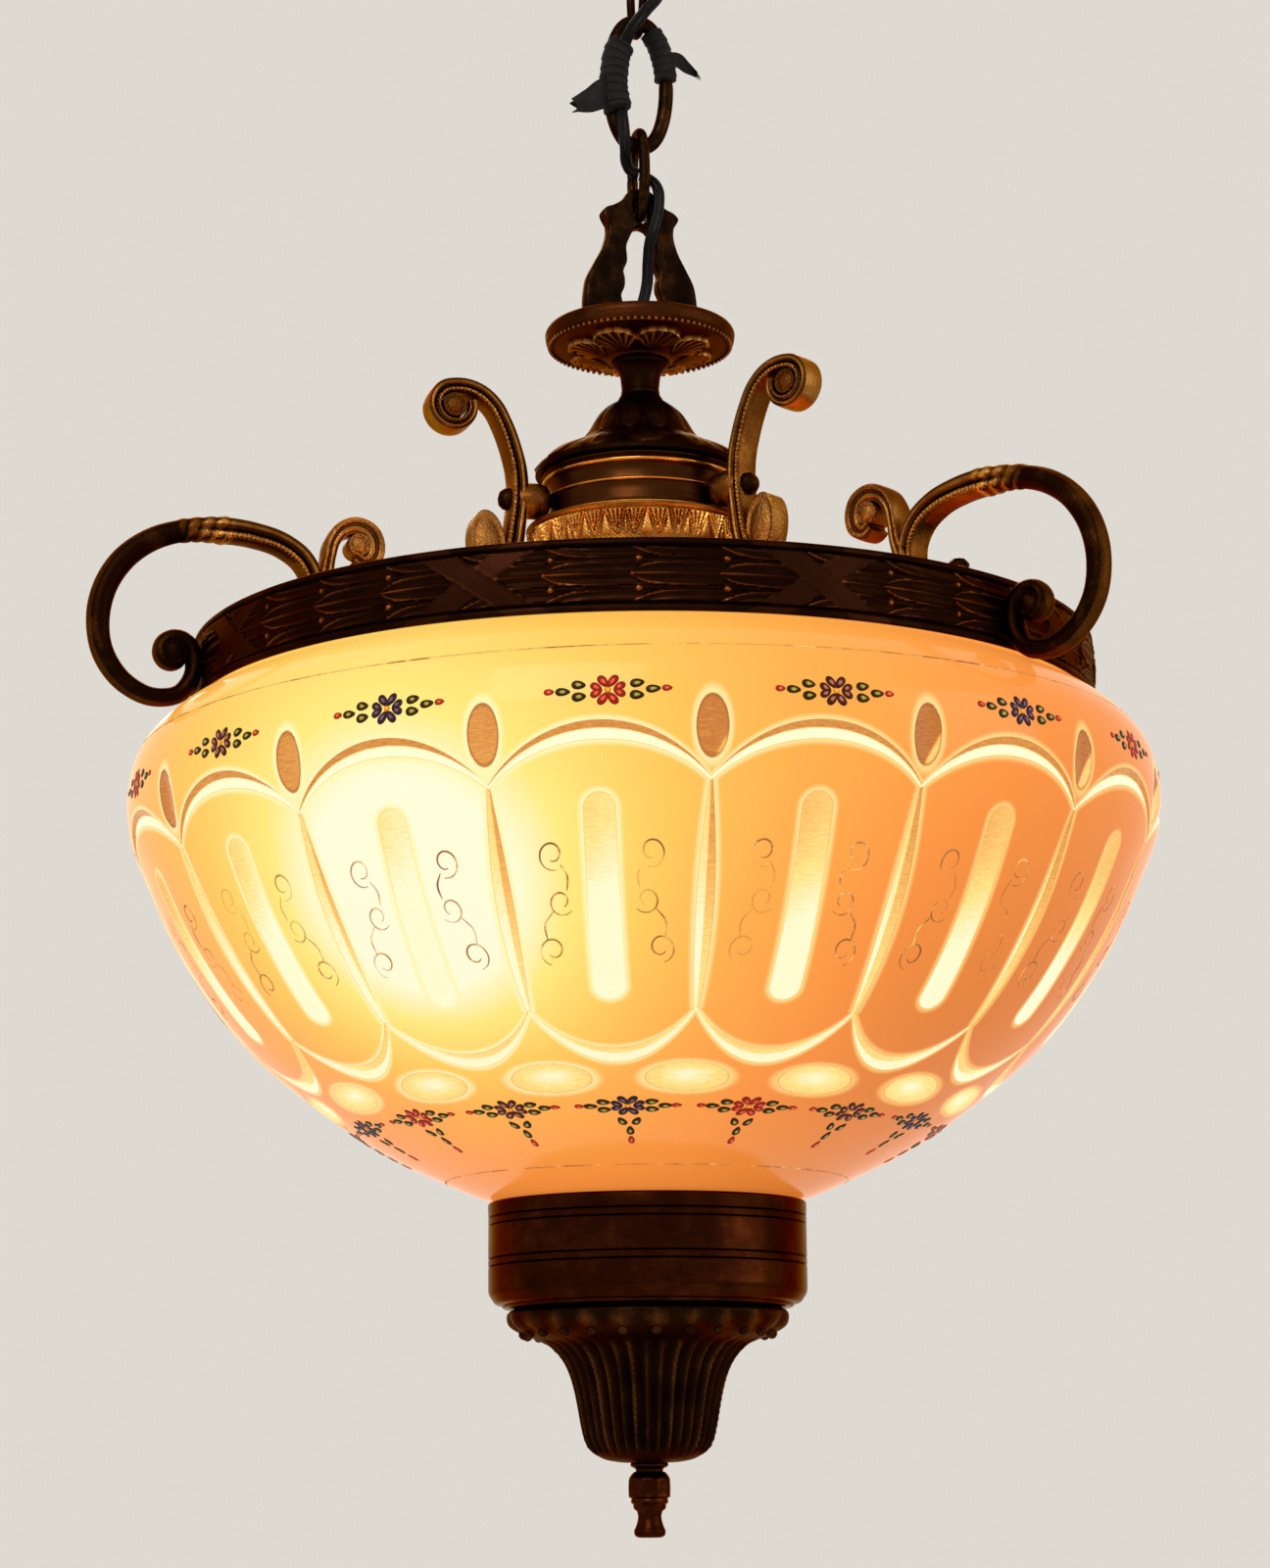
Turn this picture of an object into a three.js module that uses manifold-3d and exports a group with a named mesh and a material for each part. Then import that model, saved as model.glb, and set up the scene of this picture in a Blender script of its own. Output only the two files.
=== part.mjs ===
// Bowl chandelier: a painted and cut glass bowl with a brass rim ring, carried by one centre tube
// and three scrolled arms, hanging on three chain links. Millimetres, +Z up.
// The origin is the bearing point inside the top link, where a ceiling hook carries the lamp.
import * as THREE from 'three';
import { mergeVertices } from 'three/addons/utils/BufferGeometryUtils.js';
import Module from 'manifold-3d';

const wasm = await Module();
wasm.setup();

// Driving dimensions
const GAP = 0.3;                       // clearance between pieces that touch
const ARM_ANGLES = { left: -90, right: 30, back: 150 };   // degrees from -Y towards +X

const BOWL_RADIUS = 201;               // widest point of the glass
const BOWL_WALL = 4.5;
const LIP_RADIUS = 167.5;
const LIP_TOP = -309.2;
const BOWL_FLOOR = -520.5;             // outer face of the glass at its drilled centre
const BOWL_HOLE = 7;

const RING_RADIUS = 177;
const RING_TOP = -300.5;
const RING_HEIGHT = 26;
const RING_OPENING = 149.5;
const RING_SCREW_RADIUS = 155;

const TUBE_RADIUS = 5;                 // M10 lamp tube
const TUBE_BORE = 3.5;
const TUBE_TOP = -162;
const TUBE_END = -614;
const TUBE_CLEARANCE = 5.6;            // hole radius round the tube

const BAND_RADIUS = 36.5;
const BAND_TOP = -228.3;
const BAND_FOOT = -250.2;
const GALLERY_RADIUS = 46;
const GALLERY_TOP = -250.5;
const GALLERY_FOOT = -271;
const DISH_RADIUS = 37.7;
const DISH_FLOOR = -172.3;

const CUP_RADIUS = 61;
const CUP_TOP = -517.2;
const CUP_FOOT = -557;
const BELL_LOBES = 22;

const TOP_LINK = { wire: 1.75, halfWidth: 8.25, top: 1.75, bottom: -39.25 };
const MAIN_LINK = { wire: 3, halfWidth: 12.2, top: -34.2, bottom: -88.3 };
const EYE_LINK = { wire: 2.25, halfWidth: 7.75, top: -82.75, bottom: -118.75 };
const FLEX_RADIUS = 2.4;

const ARM_HALF_WIDTH = 5.5;            // across the casting
const ARM_SCREW_HEIGHT = -242;
const LAMP_DROP = 31;                  // degrees below level
const HUB_HEIGHT = -338;

// Materials
const material = (color, roughness, metalness = 1) =>
  new THREE.MeshStandardMaterial({ color, roughness, metalness });
const DARK_BRONZE = material(0x2b1a0d, 0.42);
const BROWN_BRASS = material(0x5b3a1c, 0.33);
const GOLD_BRASS = material(0xb47a2c, 0.36);
const RED_BRONZE = material(0x6e3a1a, 0.4);
const STEEL = material(0x8d8a84, 0.4);
const BLACK_PVC = material(0x0d0c0b, 0.45, 0);
const OPAL_GLASS = material(0xf3e2b8, 0.12, 0);
const BULB_GLASS = material(0xfff3d6, 0.2, 0);
const RUBBER = material(0x1b1917, 0.8, 0);
const PORCELAIN = material(0xe9e4d8, 0.3, 0);

const chandelier = new THREE.Group();

function add(name, geometry, pieceMaterial, parent = chandelier) {
  const mesh = new THREE.Mesh(geometry, pieceMaterial);
  mesh.name = name;
  parent.add(mesh);
  return mesh;
}

// Solids

// Positions only, with shared corners merged and triangles of no area dropped.
function bare(geometry) {
  const copy = geometry.clone();
  for (const key of Object.keys(copy.attributes)) if (key !== 'position') copy.deleteAttribute(key);
  const merged = mergeVertices(copy, 1e-4);
  const index = merged.index.array;
  const kept = [];
  for (let i = 0; i < index.length; i += 3) {
    const [a, b, c] = index.slice(i, i + 3);
    if (a !== b && b !== c && c !== a) kept.push(a, b, c);
  }
  merged.setIndex(kept);
  return merged;
}

function solid(geometry) {
  const merged = bare(geometry);
  return new wasm.Manifold(new wasm.Mesh({
    numProp: 3,
    vertProperties: new Float32Array(merged.attributes.position.array),
    triVerts: new Uint32Array(merged.index.array),
  }));
}

function geometryOf(manifold) {
  const mesh = manifold.getMesh();
  const geometry = new THREE.BufferGeometry();
  geometry.setAttribute('position', new THREE.BufferAttribute(mesh.vertProperties, 3));
  geometry.setIndex(new THREE.BufferAttribute(mesh.triVerts, 1));
  return geometry;
}

function join(...geometries) {
  return geometryOf(geometries.map(solid).reduce((sum, next) => sum.add(next)));
}

function cut(body, ...tools) {
  return geometryOf(tools.map(solid).reduce((rest, tool) => rest.subtract(tool), solid(body)));
}

// Joins rows of points into a skin; a closed run of rows bends back on itself, an open one is capped.
function skin(rows, closedRun = false) {
  const sides = rows[0].length;
  const positions = rows.flat().flatMap((point) => [point.x, point.y, point.z]);
  const index = [];
  const last = closedRun ? rows.length : rows.length - 1;
  for (let row = 0; row < last; row += 1) {
    const here = row * sides;
    const next = ((row + 1) % rows.length) * sides;
    for (let side = 0; side < sides; side += 1) {
      const turn = (side + 1) % sides;
      index.push(here + side, here + turn, next + turn, here + side, next + turn, next + side);
    }
  }
  if (!closedRun) {
    const end = (rows.length - 1) * sides;
    const outline = rows[0].map((point) => point.clone());
    const centre = outline.reduce((sum, point) => sum.add(point), new THREE.Vector3())
      .divideScalar(sides);
    const far = rows[rows.length - 1].reduce((sum, point) => sum.add(point.clone()),
      new THREE.Vector3()).divideScalar(sides);
    const first = positions.length / 3;
    positions.push(centre.x, centre.y, centre.z, far.x, far.y, far.z);
    for (let side = 0; side < sides; side += 1) {
      const turn = (side + 1) % sides;
      index.push(first, turn, side, first + 1, end + side, end + turn);
    }
  }
  const geometry = new THREE.BufferGeometry();
  geometry.setAttribute('position', new THREE.Float32BufferAttribute(positions, 3));
  geometry.setIndex(index);
  if (volume(geometry) < 0) flip(geometry);
  return geometry;
}

function volume(geometry) {
  const at = geometry.attributes.position;
  const index = geometry.index.array;
  const [a, b, c] = [new THREE.Vector3(), new THREE.Vector3(), new THREE.Vector3()];
  let sum = 0;
  for (let i = 0; i < index.length; i += 3) {
    a.fromBufferAttribute(at, index[i]);
    b.fromBufferAttribute(at, index[i + 1]);
    c.fromBufferAttribute(at, index[i + 2]);
    sum += a.dot(b.cross(c));
  }
  return sum / 6;
}

function flip(geometry) {
  const index = geometry.index.array;
  for (let i = 0; i < index.length; i += 3) [index[i], index[i + 1]] = [index[i + 1], index[i]];
}

// Turned pieces: a closed outline of [radius, height] points revolved about Z.
// With lobes, the radius swells and sinks round the piece by depth(height) millimetres.
function turned(outline, segments = 32, lobes = 0, depth = () => 0) {
  const rows = [];
  for (let step = 0; step < segments; step += 1) {
    const angle = (step / segments) * 2 * Math.PI;
    rows.push(outline.map(([radius, height, isOuter = true]) => {
      const swell = lobes && isOuter ? depth(height) * Math.cos(lobes * angle) : 0;
      const r = radius + swell;
      return new THREE.Vector3(r * Math.cos(angle), r * Math.sin(angle), height);
    }));
  }
  return bare(skin(rows, true));
}

// A smooth run of [radius, height] points through a few chosen ones.
function smooth(points, count) {
  const curve = new THREE.CatmullRomCurve3(points.map(([r, z]) => new THREE.Vector3(r, 0, z)),
    false, 'centripetal');
  return curve.getSpacedPoints(count).map((point) => [point.x, point.z]);
}

function rod(radius, from, to, sides = 16) {
  const a = new THREE.Vector3(...from);
  const b = new THREE.Vector3(...to);
  const geometry = new THREE.CylinderGeometry(radius, radius, a.distanceTo(b), sides);
  const turn = new THREE.Quaternion().setFromUnitVectors(
    new THREE.Vector3(0, 1, 0), b.clone().sub(a).normalize());
  geometry.applyQuaternion(turn);
  const middle = a.add(b).multiplyScalar(0.5);
  return geometry.translate(middle.x, middle.y, middle.z);
}

const washer = (radius, hole, top, bottom, segments = 16) =>
  turned([[hole, top], [radius, top], [radius, bottom], [hole, bottom]], segments);

// Hexagon nut on a vertical bolt; its hole stands clear of the thread.
function nut(radius, hole, top, bottom) {
  const body = rod(radius, [0, 0, bottom], [0, 0, top], 6);
  return cut(body, rod(hole, [0, 0, bottom - 1], [0, 0, top + 1], 8));
}

// Chain links and flex

// Round wire bent to a long oval with rounded shoulders, in the plane of across and Z.
function link({ wire, halfWidth, top, bottom }, across, steps = 22, sides = 7) {
  const middle = (top + bottom) / 2;
  const halfHeight = (top - bottom) / 2;
  const shoulder = 0.82;
  const centre = (t) => {
    const swing = Math.cos(t);
    const rise = Math.sin(t);
    return across.clone().multiplyScalar(halfWidth * Math.sign(swing) * Math.abs(swing) ** shoulder)
      .add(new THREE.Vector3(0, 0, middle + halfHeight * rise));
  };
  const flat = new THREE.Vector3(0, 0, 1).cross(across);
  const rows = [];
  for (let step = 0; step < steps; step += 1) {
    const t = ((step + 0.5) / steps) * 2 * Math.PI;
    const nudge = 0.02;
    const along = centre(t + nudge).sub(centre(t - nudge)).normalize();
    const out = along.clone().cross(flat);
    rows.push(ring(centre(t), out, flat, wire, sides));
  }
  return skin(rows, true);
}

function ring(centre, u, v, radius, sides) {
  return Array.from({ length: sides }, (_, side) => {
    const angle = ((side + 0.5) / sides) * 2 * Math.PI;
    return centre.clone().addScaledVector(u, radius * Math.cos(angle))
      .addScaledVector(v, radius * Math.sin(angle));
  });
}

// A round tube through a list of points, made of straight steps.
function tube(points, radius, sides = 8, steps = points.length) {
  const curve = new THREE.CatmullRomCurve3(points.map((point) => new THREE.Vector3(...point)),
    false, 'centripetal');
  const outline = new THREE.Shape(ring(new THREE.Vector3(), new THREE.Vector3(1, 0, 0),
    new THREE.Vector3(0, 1, 0), radius, sides).map((point) => new THREE.Vector2(point.x, point.y)));
  return bare(new THREE.ExtrudeGeometry(outline, { steps, extrudePath: curve, bevelEnabled: false }));
}

const X = new THREE.Vector3(1, 0, 0);
const Y = new THREE.Vector3(0, 1, 0);

function addChain() {
  add('top_link', link(TOP_LINK, Y), DARK_BRONZE);
  add('main_link', link(MAIN_LINK, X, 24), DARK_BRONZE);
  add('eye_link', link(EYE_LINK, Y), DARK_BRONZE);
}

// Insulating tape wound over the flex and the link's side wires, each with a loose flared tail.
function addTape() {
  const clearWire = link({ ...MAIN_LINK, wire: MAIN_LINK.wire + GAP }, X, 24);
  const leftWrap = tube([[-9.2, -3, -53], [-11.4, -2.6, -60], [-11.6, -2.6, -67], [-9.6, -3.2, -75]],
    7.2, 8, 4);
  const leftTail = tail([-14, -4, -62], [-29, -5, -71], [4, 1.2, 7], [1.4, 0.5, 8]);
  add('tape_left', cut(join(leftWrap, leftTail), clearWire), BLACK_PVC);
  const rightWrap = tube([[8.6, 0, -42.5], [10.6, 0, -48], [11.8, 0, -53]], 5.2, 8, 3);
  const rightTail = tail([12.5, -2, -47.5], [24, -3, -51], [3, 1, 3.6], [0.8, 0.4, 1.5]);
  add('tape_right', cut(join(rightWrap, rightTail), clearWire), BLACK_PVC);
}

// A flat loose end that leaves the wrap at from and spreads to to; sizes are half extents.
function tail(from, to, [rootX, rootY, rootZ], [tipX, tipY, tipZ]) {
  const corner = ([x, y, z], dx, dy, dz) => new THREE.Vector3(x + dx, y + dy, z + dz);
  const row = (at, dx, dy, dz) => [corner(at, -dx, -dy, dz), corner(at, -dx, dy, dz),
    corner(at, dx, dy, -dz), corner(at, dx, -dy, -dz)];
  const middle = from.map((value, axis) => (value + to[axis]) / 2 + (axis === 2 ? 2 : 0));
  return skin([row(from, rootX, rootY, rootZ),
    row(middle, (rootX + tipX) / 3, (rootY + tipY) / 2, (rootZ + tipZ) / 2.4),
    row(to, tipX, tipY, tipZ)]);
}

// The twin flex: woven down through the links and into the centre tube.
function addFlex() {
  add('flex_upper', tube([[9, 0, -2.6], [9, 0, -8], [8.6, -1.5, -15], [7.4, -6, -22], [4.4, -11.4, -28],
    [0, -13.2, -33.5], [-4.4, -12, -39.5], [-7.6, -8.6, -46], [-8.6, -6, -52.4]], FLEX_RADIUS),
  BLACK_PVC);
  add('flex_middle', tube([[-8.6, -5.2, -76.4], [-8.4, -6.2, -81], [-8, -6.5, -87], [-7.4, -5.6, -92],
    [-6, -2.4, -96.5], [-3.4, -0.4, -99], [-0.3, 0, -99.8]], FLEX_RADIUS), BLACK_PVC);
  add('flex_lower', tube([[0.9, 0.1, -100.2], [2.8, -0.6, -101.2], [5.4, -3.6, -104.4],
    [6.2, -6.6, -109], [6.2, -7, -114], [5.6, -7, -119], [3.6, -6.6, -126.5], [2.8, -4.8, -132],
    [3, -2.2, -139], [3, -0.6, -147], [1.6, 0, -154], [0.3, 0, -158.5], [0, 0, -161.6]],
  FLEX_RADIUS), BLACK_PVC);
  const block = new THREE.BoxGeometry(9, 16, 12).translate(9, 0, 4);
  const screws = [-4, 4].map((y) => rod(2.6, [13, y, 4], [14.2, y, 4], 10));
  add('terminal_block', join(block, ...screws), PORCELAIN);
}

// Yoke: a flat casting of two baluster-shaped arms on a round foot, screwed down by the tube nut.
function addYoke() {
  const half = 3.5;
  const outline = new THREE.Shape();
  outline.moveTo(0, -107);
  outline.bezierCurveTo(4, -107, 6.6, -109.5, 8, -113);
  outline.lineTo(14.5, -116.6);
  outline.quadraticCurveTo(17.4, -117.6, 15.6, -119.8);
  outline.quadraticCurveTo(13.6, -122.4, 14, -126);
  outline.bezierCurveTo(15.6, -134, 22.6, -141, 23.6, -152);
  outline.bezierCurveTo(24.2, -158, 23.8, -164, 23.6, -169.6);
  outline.lineTo(9.8, -169.6);
  for (let scallop = 0; scallop < 4; scallop += 1) {
    const foot = -166 + scallop * 10.5;
    const reach = 10 - scallop * 1.1;
    outline.quadraticCurveTo(reach - 2.2, foot + 5, reach - 0.6, foot + 10);
  }
  outline.lineTo(0, -123.6);
  const side = outline.getPoints(3);
  const opposite = side.slice(1, -1).reverse().map((point) => new THREE.Vector2(-point.x, point.y));
  const loop = new THREE.Shape([...side, ...opposite]);
  const plate = new THREE.ExtrudeGeometry(loop, { depth: 2 * half, bevelEnabled: false });
  plate.rotateX(Math.PI / 2).translate(0, half, 0);
  const foot = turned([[0, -169], [24.4, -169], [25, -170], [25, -172], [0, -172]], 24);
  const wire = EYE_LINK.wire;
  const linkHole = join(rod(wire + 1, [0, -5, EYE_LINK.bottom], [0, 5, EYE_LINK.bottom], 12),
    rod(wire + 1.5, [0, -5, EYE_LINK.bottom + 3.7], [0, 5, EYE_LINK.bottom + 3.7], 12));
  const tubeHole = rod(TUBE_CLEARANCE, [0, 0, -175], [0, 0, -160], 16);
  add('yoke', cut(join(plate, foot), linkHole, tubeHole), DARK_BRONZE);
  add('yoke_nut', nut(8.5, TUBE_CLEARANCE, -163.5, -168.7), STEEL);
}

// Top body: dish, neck, leaf dome, band, gallery and base plate, stacked on the centre tube.
function addBody() {
  const hole = TUBE_CLEARANCE;
  add('dish', turned([[hole, DISH_FLOOR], [26, DISH_FLOOR], [33, -170.4], [35.4, -167.4],
    [DISH_RADIUS, -167.2], [DISH_RADIUS + 0.3, -170], [36.6, -172.6], [31, -174.6], [22, -177.4],
    [11, -180], [hole, -180]], 24), RED_BRONZE);
  add('neck_sleeve', turned([[hole, -180.3], [11.1, -180.3], [10.9, -182.4], [8.9, -186],
    [8.2, -190.5], [9.3, -193.6], [11.7, -195.2], [hole, -195.2]], 20), BROWN_BRASS);
  const lobes = 12;
  const swell = (z) => 0.7 * Math.sin(Math.PI * THREE.MathUtils.clamp((z + 196) / -30, 0, 1));
  add('dome_cover', turned([[hole, -195.5], [12, -195.5], [17.5, -200], [24.3, -209.7],
    [33.2, -214.8], [39, -220.7], [41.3, -225], [41, -228], [37.4, -228, false], [36, -222.4, false],
    [21.6, -211.6, false], [14, -199, false],
    [hole, -198, false]], 24, lobes, swell), DARK_BRONZE);
  addBand();
  const rim = GALLERY_RADIUS;
  const frieze = (z) => 0.5 * Math.sin(Math.PI * THREE.MathUtils.clamp((z + 253) / -14, 0, 1));
  add('gallery_ring', turned([[33, GALLERY_TOP], [rim, GALLERY_TOP], [rim, -252.6], [rim - 1, -254],
    [rim - 1.8, -261.5], [rim - 2, -268.4], [rim - 3, GALLERY_FOOT],
    [rim - 5, GALLERY_FOOT, false], [rim - 4, -254, false], [33, -252.6, false]],
  48, 24, frieze), GOLD_BRASS);
  add('base_plate', turned([[hole, -262], [14, -262], [14, -266.6], [40.2, -266.6], [40.2, -269.4],
    [hole, -269.4]], 24), BROWN_BRASS);
  add('base_nut', nut(8.5, hole, -269.7, -275.5), STEEL);
  add('centre_tube', turned([[TUBE_BORE, TUBE_TOP], [TUBE_RADIUS, TUBE_TOP], [TUBE_RADIUS, TUBE_END],
    [TUBE_BORE, TUBE_END]], 12), STEEL);
}

function addBand() {
  const r = BAND_RADIUS;
  const bead = (z, out) => [[r, z + 1.2], [r + out, z], [r, z - 1.2]];
  const outline = [[r - 3, BAND_TOP], [r + 1.6, BAND_TOP], ...bead(-231.6, 1.5), ...bead(-239.3, 1.1),
    [r + 0.2, -246], [r + 2.6, -249.4], [r + 2.6, BAND_FOOT], [r - 2, BAND_FOOT], [r - 2, BAND_TOP - 3],
    [r - 3, BAND_TOP - 3]];
  const holes = Object.values(ARM_ANGLES).map((angle) => place(
    rod(2.6, [r - 6, 0, ARM_SCREW_HEIGHT], [r + 6, 0, ARM_SCREW_HEIGHT], 10), angle));
  add('body_band', cut(turned(outline, 24), ...holes), BROWN_BRASS);
}

// Turns a piece made in the +X half of the XZ plane to an arm's own direction.
function place(geometry, angle) {
  return geometry.rotateZ(THREE.MathUtils.degToRad(angle - 90));
}

// Arms: one casting each, an S-scroll on the band, a long foot to the ring, and a C-scroll outside.

// Centre line of a curl: the radius about the eye runs from first to last as it turns.
function curl([eyeR, eyeZ], startDegrees, sweepDegrees, first, last, count) {
  return Array.from({ length: count + 1 }, (_, step) => {
    const share = step / count;
    const angle = THREE.MathUtils.degToRad(startDegrees + sweepDegrees * share);
    const radius = THREE.MathUtils.lerp(first, last, share);
    return [eyeR + radius * Math.cos(angle), eyeZ + radius * Math.sin(angle)];
  });
}

// A scrolled strand in the XZ plane, with its edges rounded off.
function strand(points, thickness, steps, width = ARM_HALF_WIDTH) {
  const section = [[-1, -0.6], [-0.6, -1], [0.6, -1], [1, -0.6],
    [1, 0.6], [0.6, 1], [-0.6, 1], [-1, 0.6]];
  const curve = new THREE.CatmullRomCurve3(points.map(([r, z]) => new THREE.Vector3(r, 0, z)),
    false, 'centripetal');
  const rows = [];
  for (let step = 0; step <= steps; step += 1) {
    const share = step / steps;
    const along = curve.getTangentAt(share);
    const normal = new THREE.Vector3(-along.z, 0, along.x);
    const half = taper(thickness, share);
    const wide = width * (0.62 + 0.38 * Math.min(1, half / thickness[0]));
    rows.push(section.map(([n, b]) => curve.getPointAt(share).addScaledVector(normal, n * half)
      .add(new THREE.Vector3(0, b * wide, 0))));
  }
  return skin(rows);
}

// Piecewise-linear value along a strand.
function taper(values, share) {
  const at = share * (values.length - 1);
  const low = Math.min(Math.floor(at), values.length - 2);
  return THREE.MathUtils.lerp(values[low], values[low + 1], at - low);
}

const eyeButton = ([r, z], radius, width) => rod(radius, [r, -width, z], [r, width, z], 7);

function armCasting() {
  const upperEye = [79.3, -205.9];
  const smallEye = [118, -268.8];
  const footEye = [188.2, -312.6];
  const stem = [[158, -297.2], [148, -297], [130, -295.6], [106, -291.6], [82, -285.6], [64, -277],
    [55.6, -266], [52.8, -252], [51.7, -241], [52.3, -230], [54.4, -221.6], [58, -212], [62, -205],
    [67.6, -200], [74, -197.8]];
  const upper = strand([...stem, ...curl(upperEye, 82, -372, 8.1, 3, 12)],
    [3, 3.4, 4, 4, 3.9, 3.2, 2.6, 2], 21);
  const outer = strand([[144, -297], [145.4, -287], [151, -276], [162, -268], [178, -264.8],
    [193, -266.4], [206, -273.6], [215, -286], [218, -301], [215.6, -316], [207, -326.6],
    [195, -331.4], [185.8, -329], [181.8, -321], ...curl(footEye, 180, -340, 6.4, 2.8, 12)],
  [4, 4.2, 4, 4, 4.4, 4, 3, 1.8], 24);
  const small = strand([[142, -294], [137, -284], [133.4, -275], [132.4, -268], [129.4, -262.6],
    ...curl(smallEye, 62, 370, 10.2, 2.8, 12)],
    [4, 3.6, 3, 2.4, 1.8], 10);
  const leaf = strand([[60, -274], [63, -266], [64.6, -258], [65.4, -249.4]], [4.4, 6.8, 6.8, 3.4], 2, 6.4);
  const ear = rod(6, [38.2, 0, ARM_SCREW_HEIGHT], [52, 0, ARM_SCREW_HEIGHT], 10);
  const casting = join(upper, outer, small, leaf, ear, eyeButton(upperEye, 4.4, 5.6),
    eyeButton(smallEye, 4, 5.2), eyeButton(footEye, 4, 5.6));
  return cut(casting,
    turned([[0, -233], [39.2, -233], [39.2, -251], [0, -251]], 24),
    rod(2.5, [30, 0, ARM_SCREW_HEIGHT], [70, 0, ARM_SCREW_HEIGHT], 10),
    rod(2.4, [RING_SCREW_RADIUS, 0, -310], [RING_SCREW_RADIUS, 0, -280], 10));
}

function addArms() {
  const casting = armCasting();
  for (const [side, angle] of Object.entries(ARM_ANGLES)) {
    add(`arm_${side}`, place(casting.clone(), angle), GOLD_BRASS);
    const z = ARM_SCREW_HEIGHT;
    const head = turned([[0, 0], [4.2, 0], [4.6, 1.6], [3.4, 4], [0, 4.8]], 9)
      .rotateY(Math.PI / 2).translate(56.4, 0, z);
    const bolt = join(head, rod(2, [30, 0, z], [57.6, 0, z], 8));
    add(`arm_screw_${side}`, place(bolt, angle), GOLD_BRASS);
    const hex = cut(rod(4.4, [31, 0, z], [34, 0, z], 6), rod(2.4, [30, 0, z], [35, 0, z], 8));
    add(`arm_nut_${side}`, place(hex, angle), STEEL);
    const at = RING_SCREW_RADIUS;
    const ringBolt = join(rod(2, [at, 0, -307.4], [at, 0, -292], 8),
      turned([[0, 0], [4, 0], [4, 1.2], [2.6, 2.6], [0, 3]], 8).translate(at, 0, -293.6));
    add(`ring_screw_${side}`, place(ringBolt, angle), GOLD_BRASS);
    add(`ring_nut_${side}`, place(nut(4, 2.4, -303, -306).translate(at, 0, 0), angle), STEEL);
  }
}

// Rim ring: a pressed brass channel with a broad moulded face and a flat flange over the glass lip.
function addRing() {
  const r = RING_RADIUS;
  const top = RING_TOP;
  const foot = RING_TOP - RING_HEIGHT;
  const face = Array.from({ length: 2 }, (_, step) => {
    const share = (step + 0.5) / 2;
    return [r - 1.6 + 1.4 * Math.sin(Math.PI * share), top - 4.2 - (RING_HEIGHT - 8.4) * share];
  });
  const outline = [[RING_OPENING, top], [r - 1.2, top], [r - 0.2, top - 0.8], [r - 0.2, top - 3],
    ...face, [r, foot + 3.2], [r, foot], [r - 1.8, foot], [r - 3.2, foot + 3.4], [r - 3.2, top - 3.6],
    [r - 4.6, top - 2.2], [RING_OPENING, top - 2.2]];
  const holes = Object.values(ARM_ANGLES).map((angle) => place(
    rod(2.5, [RING_SCREW_RADIUS, 0, top - 6], [RING_SCREW_RADIUS, 0, top + 4], 10), angle));
  add('rim_ring', cut(turned(outline, 42), ...holes), BROWN_BRASS);
  add('ring_gasket', washer(169, 161.6, top - 2.6, LIP_TOP + GAP, 28), RUBBER);
}

// Bowl: blown opal glass with a short neck under the ring, round shoulder and drilled floor.
function addBowl() {
  const wall = BOWL_WALL;
  const neck = [[LIP_RADIUS, LIP_TOP], [168, -319], [174.2, -327]];
  const side = smooth([[186, -335], [196.4, -346.5], [BOWL_RADIUS, -362], [199.8, -377],
    [192.4, -395.5], [175.6, -429], [152, -459.5], [130, -478], [104, -496], [80, -508],
    [59, -516.4]], 8);
  const inside = smooth([[57.4, -511.8], [78.2, -503.4], [101.6, -492], [127.2, -474.2],
    [148.6, -456.2], [171.4, -426.6], [188, -393.4], [195.4, -376.4], [196.6, -362.8],
    [192.8, -349.4], [182.6, -338.4]], 6);
  add('glass_bowl', turned([...neck, ...side, [24, BOWL_FLOOR], [BOWL_HOLE, BOWL_FLOOR],
    [BOWL_HOLE, BOWL_FLOOR + wall], [24, BOWL_FLOOR + wall], ...inside, [171, -329.6], [163.4, -319.6],
    [LIP_RADIUS - wall, LIP_TOP]], 36), OPAL_GLASS);
}

// Floor clamp: rubber washer, steel plates and nuts that carry the glass on the tube.
function addFloorClamp() {
  const hole = TUBE_CLEARANCE;
  add('inner_washer', washer(20, hole, -512.6, -514.6), STEEL);
  add('inner_gasket', washer(20, hole, -514.9, BOWL_FLOOR + BOWL_WALL + 0.5), RUBBER);
  add('inner_nut', nut(8.5, hole, -506.6, -512.3), STEEL);
  add('outer_gasket', washer(21, hole, BOWL_FLOOR - GAP, -523.4), RUBBER);
  add('support_plate', washer(26, hole, -523.7, -526), STEEL);
  add('support_nut', nut(8.5, hole, -526.3, -532), STEEL);
}

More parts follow.
